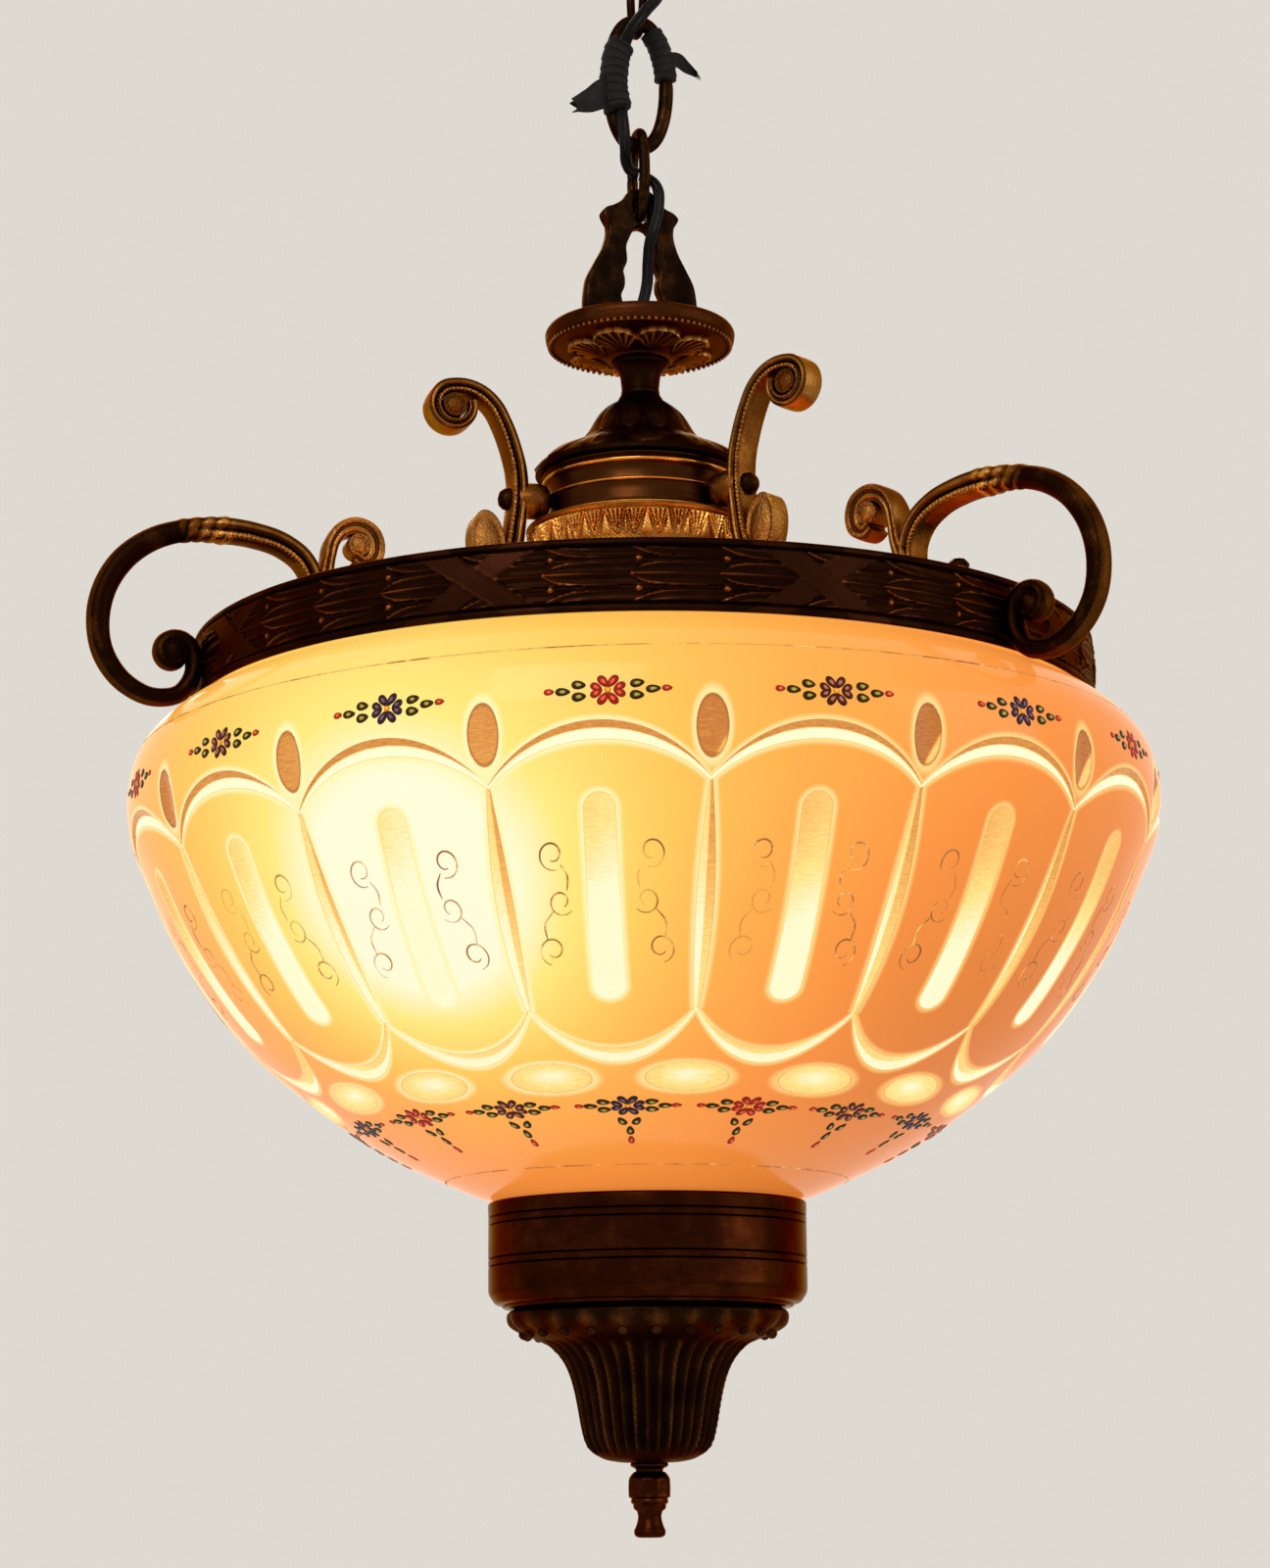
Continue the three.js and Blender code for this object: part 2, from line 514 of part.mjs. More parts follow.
// Bottom cup: a spun drum with two pairs of turned grooves, over a fluted bell and a turned finial.
function addBottom() {
  const r = CUP_RADIUS;
  const groove = (z) => [[r, z + 1.6], [r - 0.8, z], [r, z - 1.6]];
  add('bottom_cup', turned([[r - 2.2, CUP_TOP], [r - 0.6, CUP_TOP], [r, CUP_TOP - 0.8],
    ...groove(-524.6), ...groove(-540.2), [r - 0.2, -551], [r - 3.4, CUP_FOOT - 1.2],
    [r - 5.2, CUP_FOOT - 1.2], [r - 8, CUP_FOOT], [TUBE_CLEARANCE, CUP_FOOT],
    [TUBE_CLEARANCE, CUP_FOOT + 2], [r - 3.4, CUP_FOOT + 3]], 32),
  BROWN_BRASS);
  const flute = (z) => 1.1 * THREE.MathUtils.clamp((z + 569) / -6, 0, 1)
    * THREE.MathUtils.clamp((z + 615) / 5, 0, 1);
  add('bell', turned([[TUBE_CLEARANCE, CUP_FOOT - GAP], [45, CUP_FOOT - GAP], [48, -560], [48.4, -564.5],
    [40.4, -569], [34, -574.4], [29.8, -584], [24.6, -607.6], [19.6, -612.6],
    [TUBE_CLEARANCE, -615],
    [TUBE_CLEARANCE, -612, false], [17, -609, false], [25, -584, false],
    [38, -559.6, false], [TUBE_CLEARANCE, -559.6, false]],
  2 * BELL_LOBES, BELL_LOBES, flute), DARK_BRONZE);
  add('finial', turned([[0, -600], [2.9, -600], [2.9, -615.4], [7.4, -615.4], [7.8, -617],
    [6, -618.6], [4.6, -621], [6.4, -622.6], [8, -624.4], [8.2, -627], [7.4, -629.6], [5.4, -632],
    [4.6, -636], [6, -641.6], [4, -642.6], [0, -642.6]], 14), BROWN_BRASS);
}

// Lamp cluster: a hub on the tube with three lampholders turned down towards the glass.
function addLamps() {
  const hub = turned([[TUBE_CLEARANCE, HUB_HEIGHT + 9], [13, HUB_HEIGHT + 9], [16, HUB_HEIGHT + 6],
    [16, HUB_HEIGHT - 8], [12, HUB_HEIGHT - 12], [TUBE_CLEARANCE, HUB_HEIGHT - 12]], 16);
  add('cluster_hub', hub, BROWN_BRASS);
  add('hub_nut', nut(8.5, TUBE_CLEARANCE, HUB_HEIGHT - 12.3, HUB_HEIGHT - 18), STEEL);
  const along = (outline, segments) => turned(outline.map(([radius, reach, isOuter]) =>
    [radius, -reach, isOuter]), segments);
  for (const [side, angle] of Object.entries(ARM_ANGLES)) {
    const aim = (geometry) => place(geometry
      .rotateY(THREE.MathUtils.degToRad(-90 + LAMP_DROP)).translate(0, 0, HUB_HEIGHT), angle);
    const holder = along([[0, 22.5], [6, 22.5], [6, 30], [14, 34], [15, 40], [17, 44], [17, 66],
      [18.4, 70], [14.4, 70], [14.4, 44.6], [0, 44.6]], 8);
    add(`lampholder_${side}`, aim(holder), PORCELAIN);
    const bulb = along([[0, 45.2], [8, 45.2], [13.2, 50], [13.2, 70.4], [14.6, 76], [20, 88],
      [27, 98], [30, 112], [26.6, 129], [17, 140], [0, 145]], 8);
    add(`bulb_${side}`, aim(bulb), BULB_GLASS);
  }
}

addChain();
addTape();
addFlex();
addYoke();
addBody();
addArms();
addRing();
addBowl();
addFloorClamp();
addBottom();
addLamps();

export default chandelier;
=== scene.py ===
import math

import bmesh
import bpy
import numpy as np
from mathutils import Matrix


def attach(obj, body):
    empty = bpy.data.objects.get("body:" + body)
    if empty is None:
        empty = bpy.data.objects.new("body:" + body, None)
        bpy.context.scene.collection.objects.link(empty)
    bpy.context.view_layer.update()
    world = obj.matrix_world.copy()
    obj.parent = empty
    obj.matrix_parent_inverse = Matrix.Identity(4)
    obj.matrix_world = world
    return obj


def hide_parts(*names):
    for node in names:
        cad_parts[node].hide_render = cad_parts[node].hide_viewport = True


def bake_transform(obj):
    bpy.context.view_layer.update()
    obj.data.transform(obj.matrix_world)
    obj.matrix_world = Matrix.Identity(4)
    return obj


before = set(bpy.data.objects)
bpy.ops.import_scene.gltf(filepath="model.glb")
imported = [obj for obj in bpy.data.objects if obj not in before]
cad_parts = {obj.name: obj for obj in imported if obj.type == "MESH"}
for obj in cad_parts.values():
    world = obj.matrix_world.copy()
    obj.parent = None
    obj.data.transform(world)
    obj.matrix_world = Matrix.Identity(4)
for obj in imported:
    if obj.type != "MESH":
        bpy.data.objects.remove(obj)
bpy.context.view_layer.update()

# Camera: at the photograph's place, below the bowl's rim and 18 degrees left of straight ahead,
# looking slightly up. Lengths in the shape code below are millimetres; meshes are in metres.
photo_height = 1600
focal_pixels = 3542
sensor_width = 36
camera_place = (-0.4279, -1.2657, -0.6245)
camera_turns = ((math.radians(-18), "Z"), (0.00618, "Y"), (0.20035, "X"), (-0.0079, "Z"),
                (math.radians(90), "X"))


def add_object(name, data):
    """Puts an object with this data at the origin of the scene."""
    thing = bpy.data.objects.new(name, data)
    bpy.context.scene.collection.objects.link(thing)
    return thing


camera_data = bpy.data.cameras.new("photo_camera")
camera_data.sensor_fit = "AUTO"
camera_data.sensor_width = sensor_width
camera_data.lens = sensor_width * focal_pixels / photo_height
camera_data.clip_end = 60
camera = add_object("photo_camera", camera_data)
view = Matrix.Translation(camera_place)
for turn, axis in camera_turns:
    view = view @ Matrix.Rotation(turn, 4, axis)
camera.matrix_world = view
bpy.context.scene.camera = camera

# Flex: black twin flex of two round cores side by side, woven down through the three links and
# into the mouth of the centre tube. It hangs from the ceiling's own terminal block.
flex_width = 4.8
core_radius = 1.3
web_half = 0.85


def full_turn(count):
    """Evenly spaced angles once round."""
    return np.linspace(0, 2 * np.pi, count, endpoint=False)


def joined(*axes):
    """Points from their separate coordinates."""
    return np.stack(np.broadcast_arrays(*axes), axis=-1)


def unit(v):
    return v / np.maximum(np.linalg.norm(v, axis=-1, keepdims=True), 1e-9)


def distances(line):
    """Distance along a line from its first point to each of its points."""
    return np.r_[0, np.cumsum(np.linalg.norm(np.diff(line, axis=0), axis=1))]


def evenly(line, count, closed=False):
    """Points at even distances along a line; on a closed one the first isn't repeated."""
    line = np.vstack([line, line[:1]]) if closed else line
    run = distances(line)
    even = np.linspace(0, run[-1], count, endpoint=not closed)
    return joined(*(np.interp(even, run, axis) for axis in line.T))


def through(points, count):
    """Smooth line through the points: on each stretch a cubic whose end slopes are the weighted
    mean of the slopes beside them, then spaced evenly along its own length."""
    p = np.array(points, float)
    at = distances(p)
    gap = np.linalg.norm(np.diff(p, axis=0), axis=1)[:, None]
    slope = np.diff(p, axis=0) / gap
    middle = (slope[:-1] * gap[1:] + slope[1:] * gap[:-1]) / (gap[1:] + gap[:-1])
    tangent = np.vstack([slope[:1], middle, slope[-1:]])
    fine = np.linspace(0, at[-1], 40 * len(p))
    k = np.clip(np.searchsorted(at, fine, side="right") - 1, 0, len(gap) - 1)
    g = gap[k]
    t = (fine - at[k])[:, None] / g
    curve = ((2 * t**3 - 3 * t**2 + 1) * p[k] + (t**3 - 2 * t**2 + t) * g * tangent[k]
             + (3 * t**2 - 2 * t**3) * p[k + 1] + (t**3 - t**2) * g * tangent[k + 1])
    return evenly(curve, count)


def sweep(path, across, section):
    """Carries a section along a path. A section point [n, b] lies n along the path's normal,
    which is square to the path and to across, and b along across. Section may change per step."""
    along = unit(np.gradient(path, axis=0))
    side = unit(across - along * np.sum(along * across, axis=1, keepdims=True))
    normal = np.cross(side, along)
    return (path[:, None] + section[..., 0, None] * normal[:, None]
            + section[..., 1, None] * side[:, None])


def surface(name, grid, finish, slot=None, body="lamp", along=False, replaces=(), sharp=42,
            **marks):
    """Makes a piece from points [copy, row, column] in millimetres. Four neighbours make a face;
    columns close on themselves, rows too when along, and open ends get a flat cap. Faces are
    turned outwards by the sign of each copy's enclosed volume. Marks are values per point."""
    grid = np.asarray(grid, float)
    grid = grid.reshape((-1,) + grid.shape[-3:])
    copies, rows, columns = grid.shape[:3]
    number = np.arange(rows * columns).reshape(rows, columns)
    caps = np.stack([number[0, ::-1], number[-1]])
    number = np.hstack([number, number[:, :1]])
    if along:
        number = np.vstack([number, number[:1]])
    quads = np.stack([number[:-1, :-1], number[:-1, 1:], number[1:, 1:], number[1:, :-1]],
                     axis=-1).reshape(-1, 4)
    points = grid.reshape(copies, -1, 3)
    a, b, c, d = np.moveaxis(points[:, quads], 2, 0)
    inward = (np.sum(a * np.cross(c - a, d - b), axis=(1, 2)) < 0)[:, None, None]
    first = (np.arange(copies) * rows * columns)[:, None, None]
    faces = [np.where(inward, block[:, ::-1], block) + first
             for block in ([quads] if along else [quads, caps])]
    loops = np.concatenate([block.reshape(-1) for block in faces])
    sizes = np.concatenate([np.full(block[..., 0].size, block.shape[2]) for block in faces])
    mesh = bpy.data.meshes.new(name)
    mesh.vertices.add(copies * rows * columns)
    mesh.vertices.foreach_set("co", (points * 0.001).reshape(-1))
    mesh.loops.add(len(loops))
    mesh.loops.foreach_set("vertex_index", loops.astype(np.int32))
    mesh.polygons.add(len(sizes))
    mesh.polygons.foreach_set("loop_start", np.r_[0, np.cumsum(sizes)[:-1]].astype(np.int32))
    mesh.update(calc_edges=True)
    mesh.validate()
    for key, value in marks.items():
        mark = mesh.attributes.new(key, "FLOAT", "POINT")
        mark.data.foreach_set("value", np.broadcast_to(value, grid.shape[:3]).astype(np.float32)
                              .reshape(-1))
    welded = bmesh.new()
    welded.from_mesh(mesh)
    bmesh.ops.remove_doubles(welded, verts=welded.verts, dist=1e-6)
    welded.to_mesh(mesh)
    welded.free()
    mesh.polygons.foreach_set("use_smooth", np.ones(len(mesh.polygons), bool))
    mesh.set_sharp_from_angle(angle=math.radians(sharp))
    mesh.materials.append(finish)
    piece = add_object(name, mesh)
    if body:
        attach(piece, body)
    if replaces:
        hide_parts(*replaces)
    return piece


class Shade:
    """A value in a material. A formula written with it adds the Math nodes that work it out; its
    powers are 2 and 0.5."""

    def __init__(self, tree, output):
        self.tree = tree
        self.output = output

    def math(self, operation, *others):
        """The result of one Math node, by the name of its operation."""
        return add_node(self.tree, "Math", (self, *others), operation=operation)

    def __add__(self, other):
        return self.math("ADD", other)

    def __sub__(self, other):
        return self.math("SUBTRACT", other)

    def __rsub__(self, other):
        return add_node(self.tree, "Math", (other, self), operation="SUBTRACT")

    def __mul__(self, other):
        return self.math("MULTIPLY", other)

    def __truediv__(self, other):
        return self.math("DIVIDE", other)

    def __pow__(self, power):
        return self * self if power == 2 else self.math("SQRT")

    def __abs__(self):
        return self.math("ABSOLUTE")

    __radd__ = __add__
    __rmul__ = __mul__


def add_node(tree, kind, inputs=(), output=0, **settings):
    """Adds a shader node and returns one of its outputs. Inputs, in order or by name, are plain
    values or outputs of other nodes."""
    node = tree.nodes.new("ShaderNode" + kind)
    for key, value in settings.items():
        setattr(node, key, value)
    for key, value in inputs.items() if isinstance(inputs, dict) else enumerate(inputs):
        connect(value, node.inputs[key])
    return Shade(tree, node.outputs[output])


def connect(value, socket):
    """Links a shade to a socket, or sets the socket to a plain value."""
    if isinstance(value, Shade):
        value.tree.links.new(value.output, socket)
    else:
        socket.default_value = value


def feed(finish, **values):
    """Links or sets the sockets of a material's shader; an underscore stands for a space."""
    shader = finish.node_tree.nodes["Principled BSDF"]
    for key, value in values.items():
        connect(value, shader.inputs[key.replace("_", " ")])


def new_finish(name, **values):
    finish = bpy.data.materials.new(name)
    finish.use_nodes = True
    feed(finish, **values)
    return finish


def paint(code):
    """Screen colour written as rrggbb, as the linear numbers a shader wants."""
    value = np.array([int(code[i:i + 2], 16) for i in (0, 2, 4)]) / 255
    return tuple(np.where(value < 0.04045, value / 12.92, ((value + 0.055) / 1.055) ** 2.4)) + (1,)


def place_on_piece(finish, stretch=(1, 1, 1)):
    """Object coordinates, in metres, stretched along the axes."""
    where = add_node(finish.node_tree, "TexCoord", (), "Object")
    return add_node(finish.node_tree, "Mapping", {"Vector": where, "Scale": stretch})


def cloud(where, scale, detail=4, rough=0.55):
    """Soft random value from 0 to 1 with features 1/scale metres across."""
    return add_node(where.tree, "TexNoise", {"Vector": where, "Scale": scale, "Detail": detail,
                                             "Roughness": rough}, "Fac")


def stops(value, *pairs):
    """Blend between stops: each is a position and a colour, written as rrggbb, or a level."""
    shade = add_node(value.tree, "ValToRGB", (value,), "Color")
    ramp = shade.output.node.color_ramp.elements
    while len(ramp) < len(pairs):
        ramp.new(0.5)
    for element, (position, colour) in zip(ramp, pairs):
        element.position = position
        element.color = paint(colour) if isinstance(colour, str) else (colour, colour, colour, 1)
    return shade


def relief(height, depth):
    """Fine surface relief: height is a value, depth its real size in metres."""
    return add_node(height.tree, "Bump", {"Strength": 1, "Distance": depth, "Height": height})


def flex_finish():
    """Black plastic with slow gloss changes, a little dust and a fine drawn grain."""
    finish = new_finish("black_flex", Specular_IOR_Level=0.07)
    where = place_on_piece(finish)
    feed(finish, Base_Color=stops(cloud(where, 420, 6), (0.3, "070606"), (0.75, "181412")),
         Roughness=stops(cloud(where, 160), (0.3, 0.24), (0.8, 0.42)),
         Normal=relief(cloud(place_on_piece(finish, (1, 1, 0.3)), 1500), 0.00005))
    return finish


def twin_section():
    """Outline of the twin flex: two circles side by side joined by a thin web."""
    turn = full_turn(28)
    offset = flex_width / 2 - core_radius
    inner = np.sqrt(np.maximum(core_radius**2 - (offset * np.sin(turn))**2, 0))
    radius = np.maximum(np.abs(offset * np.cos(turn)) + inner, web_half)
    return joined(radius * np.sin(turn), radius * np.cos(turn))


black_flex = flex_finish()
flex_routes = {
    "upper": [[9, 0, -2.6], [9, 0, -8], [8.6, -1.5, -15], [7.4, -6, -22], [4.4, -11.4, -28],
              [0, -13.2, -33.5], [-4.4, -12, -39.5], [-7.6, -8.6, -46], [-8.6, -6, -52.4]],
    "middle": [[-8.7, -5.2, -72.4], [-8.6, -5.2, -76.4], [-8.4, -6.2, -81], [-8, -6.5, -87],
               [-7.4, -5.6, -92], [-6, -2.4, -96.5], [-3.4, -0.4, -99], [-0.3, 0, -99.8]],
    "lower": [[0.9, 0.1, -100.2], [2.8, -0.6, -101.2], [5.4, -3.6, -104.4], [6.2, -6.6, -109],
              [6.2, -7, -114], [5.6, -7, -119], [3.6, -6.6, -126.5], [2.8, -4.8, -132],
              [3, -2.2, -139], [3, -0.6, -147], [1.6, 0, -154], [0.3, 0, -158.5], [0, 0, -161.6]],
}
for stretch, route in flex_routes.items():
    line = through(route, 90)
    width_way = np.cross(unit(np.gradient(line, axis=0)), [0, 1, 0])
    flex = surface(f"twin_flex_{stretch}", sweep(line, width_way, twin_section()), black_flex,
                   "black_pvc", body=None, replaces=(f"flex_{stretch}",))
    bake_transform(flex)

# Chain: three links of round bronze wire, the middle one large. Each is bent round a former to a
# long oval and closed with a butt joint on its side.
chain_links = {  # wire radius, half width, top, bottom, way across, body
    "top": (1.75, 8.25, 1.75, -39.25, (0, 1, 0), "ceiling_link"),
    "main": (3.0, 12.2, -34.2, -88.3, (1, 0, 0), "main_link"),
    "eye": (2.25, 7.75, -82.75, -118.75, (0, 1, 0), "eye_link"),
}


def hump(value, centre, width, power=2):
    """Bell curve, 1 at the centre: exp of minus the distance in widths to the power."""
    return np.exp(-((value - centre) / width)**power)


def mark(finish, name):
    """The values that surface stored at the piece's points under this name."""
    return add_node(finish.node_tree, "Attribute", (), "Fac", attribute_name=name)


def aged_metal(name, deep, main, bright, gloss=(0.3, 0.5), patch=60, carved=0.0, drawn=(1, 1, 1),
               pits=0.00006):
    """Old metal: patches of patina over a polished ground, with fine pits and uneven gloss. By the
    carved share of the proud mark it is darker where the mark is low, partly patina in
    its hollows and partly painted shade, and lighter where it is high, as painted highlights."""
    finish = new_finish(name, Metallic=1.0, Specular_Tint=paint("e6b890"))
    fine = cloud(place_on_piece(finish, drawn), 1400, 5, 0.65)
    metal_tone = cloud(place_on_piece(finish), patch, 6, 0.6) * 0.7 + fine * 0.3
    if carved:
        metal_tone = metal_tone * (1 - carved) + mark(finish, "proud") * carved
    feed(finish, Base_Color=stops(metal_tone, (0.3, deep), (0.5, main), (0.72, bright)),
         Roughness=stops(metal_tone, (0.35, gloss[1]), (0.7, gloss[0])), Normal=relief(fine, pits))
    return finish


def link_grid(wire, half_width, top, bottom, across):
    """Round wire along a long oval whose sides bulge by the power 0.82 of a circle's."""
    turn = full_turn(2000)
    reach = half_width * np.sign(np.cos(turn)) * np.abs(np.cos(turn))**0.82
    line = evenly(reach[:, None] * np.array(across) + [0, 0, 1] * (
        (top + bottom) / 2 + (top - bottom) / 2 * np.sin(turn))[:, None], 120, closed=True)
    flat = np.cross((0, 0, 1), across)
    out = np.cross(unit(np.roll(line, -1, 0) - np.roll(line, 1, 0)), flat)
    way = full_turn(20)[:, None]
    seam = 1 - 0.12 * hump(np.arange(120), 2, 0.8)
    return line[:, None] + wire * seam[:, None, None] * (
        np.cos(way) * out[:, None] + np.sin(way) * flat)


link_bronze = aged_metal("link_bronze", "0b0603", "1e120a", "4a2c14", (0.3, 0.5), 120)
for key, (*measures, body) in chain_links.items():
    surface(f"chain_link_{key}", link_grid(*measures), link_bronze, "dark_bronze", body=body,
            along=True, replaces=(f"{key}_link",))

# Tape: black cloth insulating tape wound in overlapping turns round the flex and the large link,
# each wrap with its loose end torn off and sticking out.
tapes = {  # the wrap's route, half size and turns; the tail's route, half heights and twist
    "left": ([[-8, -4.2, -46], [-10.2, -3.4, -50.5], [-11, -2.8, -58], [-11.2, -2.8, -66],
              [-9.8, -3.2, -75]], (5.4, 6.3), 8.2,
             [[-12, -5, -67.4], [-18, -6.2, -70.4], [-23.6, -5.4, -73.4], [-29.2, -6, -75.6]],
             (7.0, 6.2, 5.0, 3.0), 14),
    "right": ([[5.5, 0, -37.6], [9.2, 0, -44], [11.4, 0, -51], [12, 0, -58.5]], (4.4, 4.3), 6.3,
              [[11.5, -3.4, -50.5], [15.5, -4.6, -50.4], [19.5, -4, -52.8], [24.5, -3.4, -55.4]],
              (3.6, 3.0, 2.2, 1.0), -16)}


def tape_finish():
    """Tarred cloth: a fine weave, grey where it is worn."""
    finish = new_finish("cloth_tape", Roughness=0.72, Specular_IOR_Level=0.2)
    weave = add_node(finish.node_tree, "TexWave", {
        "Vector": place_on_piece(finish, (1, 1, 1.4)), "Scale": 420, "Distortion": 1.5}, "Fac")
    rub = cloud(place_on_piece(finish), 260, 6, 0.65)
    feed(finish, Base_Color=stops(rub, (0.35, "060505"), (0.72, "1b1714")),
         Normal=relief(weave + rub, 0.00012))
    return finish


cloth_tape = tape_finish()
for side, (route, (wide, deep), turns, tail, half_heights, twist) in tapes.items():
    share = np.linspace(0, 1, 90)[:, None]
    way = full_turn(40)
    step = (share * turns + way / (2 * np.pi)) % 1
    swell = 1 + 0.09 * step + 0.03 * np.sin(3 * way + 9 * share)
    swell *= np.clip(np.sin(np.pi * (share * 0.94 + 0.03)) * 6, 0.35, 1)**0.5
    wound = sweep(through(route, 90), np.tile([1.0, 0, 0], (90, 1)),
                  joined(deep * swell * np.cos(way), wide * swell * np.sin(way)))
    surface(f"tape_wrap_{side}", wound, cloth_tape, "black_pvc", "main_link",
            replaces=(f"tape_{side}",))
    line = through(tail, 40)
    share = np.linspace(0, 1, 40)[:, None]
    half = np.interp(share, np.linspace(0, 1, 4), half_heights)
    lean = np.radians(twist) * share[:, 0]
    cross = np.linspace(-1, 1, 13)
    cross = np.r_[cross, cross[::-1]]
    thick = 0.3 * np.repeat([1, -1], 13) + 0.9 * np.sin(3.1 * cross + 1.0) * share
    grid = sweep(line, joined(0, np.sin(lean), np.cos(lean)), joined(thick, cross * half))
    torn = 1.6 * np.sin(5.3 * cross + 0.6) + 0.9 * np.sin(11.7 * cross)
    grid[-1] += torn[:, None] * unit(line[-1] - line[-3])
    surface(f"tape_tail_{side}", grid, cloth_tape, "black_pvc", "main_link")

# Yoke: a flat bronze casting of two baluster arms with scalloped inner edges under a pointed head
# that the eye link passes through, screwed down on the centre tube.
yoke_half = 3.5
hole_half, hole_middle, hole_longer = 3.3, -117.2, 1.6
bore = 5.7  # of everything threaded on the centre tube
yoke_outer = [[0, -107], [4.4, -108], [8, -112.6], [11, -114.6], [14.8, -116.4], [16.3, -118.4],
              [14.6, -121], [13.9, -125], [15.4, -132], [19.4, -140], [22.6, -146.6], [23.7, -153],
              [23.9, -160], [23.5, -166], [23.6, -171.8]]
yoke_inner = [[9.6, -171.8], [9.3, -166], [9.9, -163.6], [8.1, -159], [7.9, -156], [8.4, -153.6],
              [6.9, -149], [6.9, -146], [7.5, -143.4], [5.9, -138.6], [6.0, -135.4], [6.2, -133],
              [4.6, -128], [2.6, -124.6], [0, -123.6]]


def at_angle(angle, out, height, aside=0.0):
    """Points round the tube's axis. The angle runs from -Y towards +X; aside is square to out."""
    return joined(out * np.sin(angle) + aside * np.cos(angle),
                  aside * np.sin(angle) - out * np.cos(angle), height)


def turned(profile, columns=96, lift=0.0):
    """Revolves [radius, height] points about the tube's axis. lift, rows by columns, raises the
    surface square to the profile; the profile runs down the outside."""
    profile = np.asarray(profile, float)
    slope = unit(np.gradient(profile, axis=0))
    return at_angle(full_turn(columns), profile[:, :1] - slope[:, 1:] * lift,
                    profile[:, 1:] + slope[:, :1] * lift)


def moulding(*corners, fine=8):
    """Profile through [radius, height, bow] corners: the run that ends at one swells outwards by
    bow, or sinks inwards where it is negative, as half a sine wave."""
    points = [np.array([corners[0][:2]], float)]
    for (r0, z0, _), (r1, z1, bow) in zip(corners, corners[1:]):
        share = np.linspace(0, 1, fine + 1)[1:, None] if bow else np.array([[1.0]])
        chord = np.array([r1 - r0, z1 - z0], float)
        out = np.array([-chord[1], chord[0]]) / max(np.hypot(*chord), 1e-6)
        points.append(np.array([r0, z0]) + share * chord + np.sin(np.pi * share) * bow * out)
    return np.concatenate(points)


def bead_row(count, radius, height, size):
    """A row of small balls round the axis."""
    down, way = np.linspace(0.06, np.pi - 0.06, 6)[:, None], full_turn(8)
    return at_angle(full_turn(count)[:, None, None], radius + size * np.sin(down) * np.cos(way),
                    height + size * np.cos(down), size * np.sin(down) * np.sin(way))


yoke_bronze = aged_metal("yoke_bronze", "0b0603", "1c1008", "4a2c14", (0.3, 0.48), 90)
outer_line, inner_line = through(yoke_outer, 90), through(yoke_inner[::-1], 90)
outer_loop = np.concatenate([outer_line[::-1] * [-1, 1], outer_line[1:]])
inner_loop = np.concatenate([inner_line[::-1] * [-1, 1], inner_line[1:]])
way = full_turn(26)
square = np.sign(np.cos(way)) * np.abs(np.cos(way))**0.28
thick = np.sign(np.sin(way)) * np.abs(np.sin(way))**0.34
flat = ((outer_loop + inner_loop)[:, None] + (outer_loop - inner_loop)[:, None]
        * square[:, None]) / 2
yoke = surface("yoke_casting", joined(flat[..., 0], yoke_half * thick, flat[..., 1]), yoke_bronze,
               "dark_bronze", replaces=("yoke",))
way = full_turn(32)
drill = surface("yoke_drill", joined(
    hole_half * np.cos(way), np.array([[-6], [6]]), hole_middle + hole_half * np.sin(way)
    + hole_longer * np.sign(np.sin(way))), yoke_bronze, body=None)
hole = yoke.modifiers.new("link_hole", "BOOLEAN")
hole.object, hole.operation, hole.solver = drill, "DIFFERENCE", "EXACT"
drilled = bpy.data.meshes.new_from_object(yoke.evaluated_get(
    bpy.context.evaluated_depsgraph_get()))
yoke.modifiers.clear()
yoke.data = drilled
bpy.data.objects.remove(drill)
surface("yoke_foot", turned(moulding((bore, -169, 0), (23.6, -169, 0), (24.6, -171.9, 0.6),
                                     (bore, -171.9, 0))), yoke_bronze, "dark_bronze", along=True)

# Dish: stamped red brass with a rounded rim, a row of beads under its edge and eight ribbed
# shells embossed in its underside. The yoke's foot is clamped on it.
shells = 8
shell_hinge, shell_reach, shell_spread = 13.6, 16.4, 1.05


def off_nearest(value, step):
    """Distance past the nearest multiple of step."""
    return (value + step / 2) % step - step / 2


def shell_relief(radius, angle):
    """Height of the shells. Round each hinge, seven ribs fan out as a cosine of the fan angle and
    deepen outwards to a raised scalloped lip, whose reach shrinks as the square of that angle."""
    off = off_nearest(angle, 2 * np.pi / shells)
    forward = radius * np.cos(off) - shell_hinge
    aside = radius * np.sin(off)
    reach, fan = np.hypot(forward, aside), np.arctan2(aside, forward)
    ribs = np.abs(np.cos(3.5 * np.pi * fan / shell_spread))
    edge = shell_reach * (1 - 0.4 * (fan / shell_spread)**2) * (0.95 + 0.05 * ribs)
    share = reach / np.maximum(edge, 0.1)
    inside = (np.abs(fan) < shell_spread) & (share < 1)
    lip = hump(share, 0.97, 0.05) * (np.abs(fan) < shell_spread + 0.1)
    hub = hump(radius, 12.2, 0.8)
    return inside * (0.5 + 0.9 * ribs) * np.clip(share, 0, 1)**0.6 + 0.9 * lip + 0.6 * hub


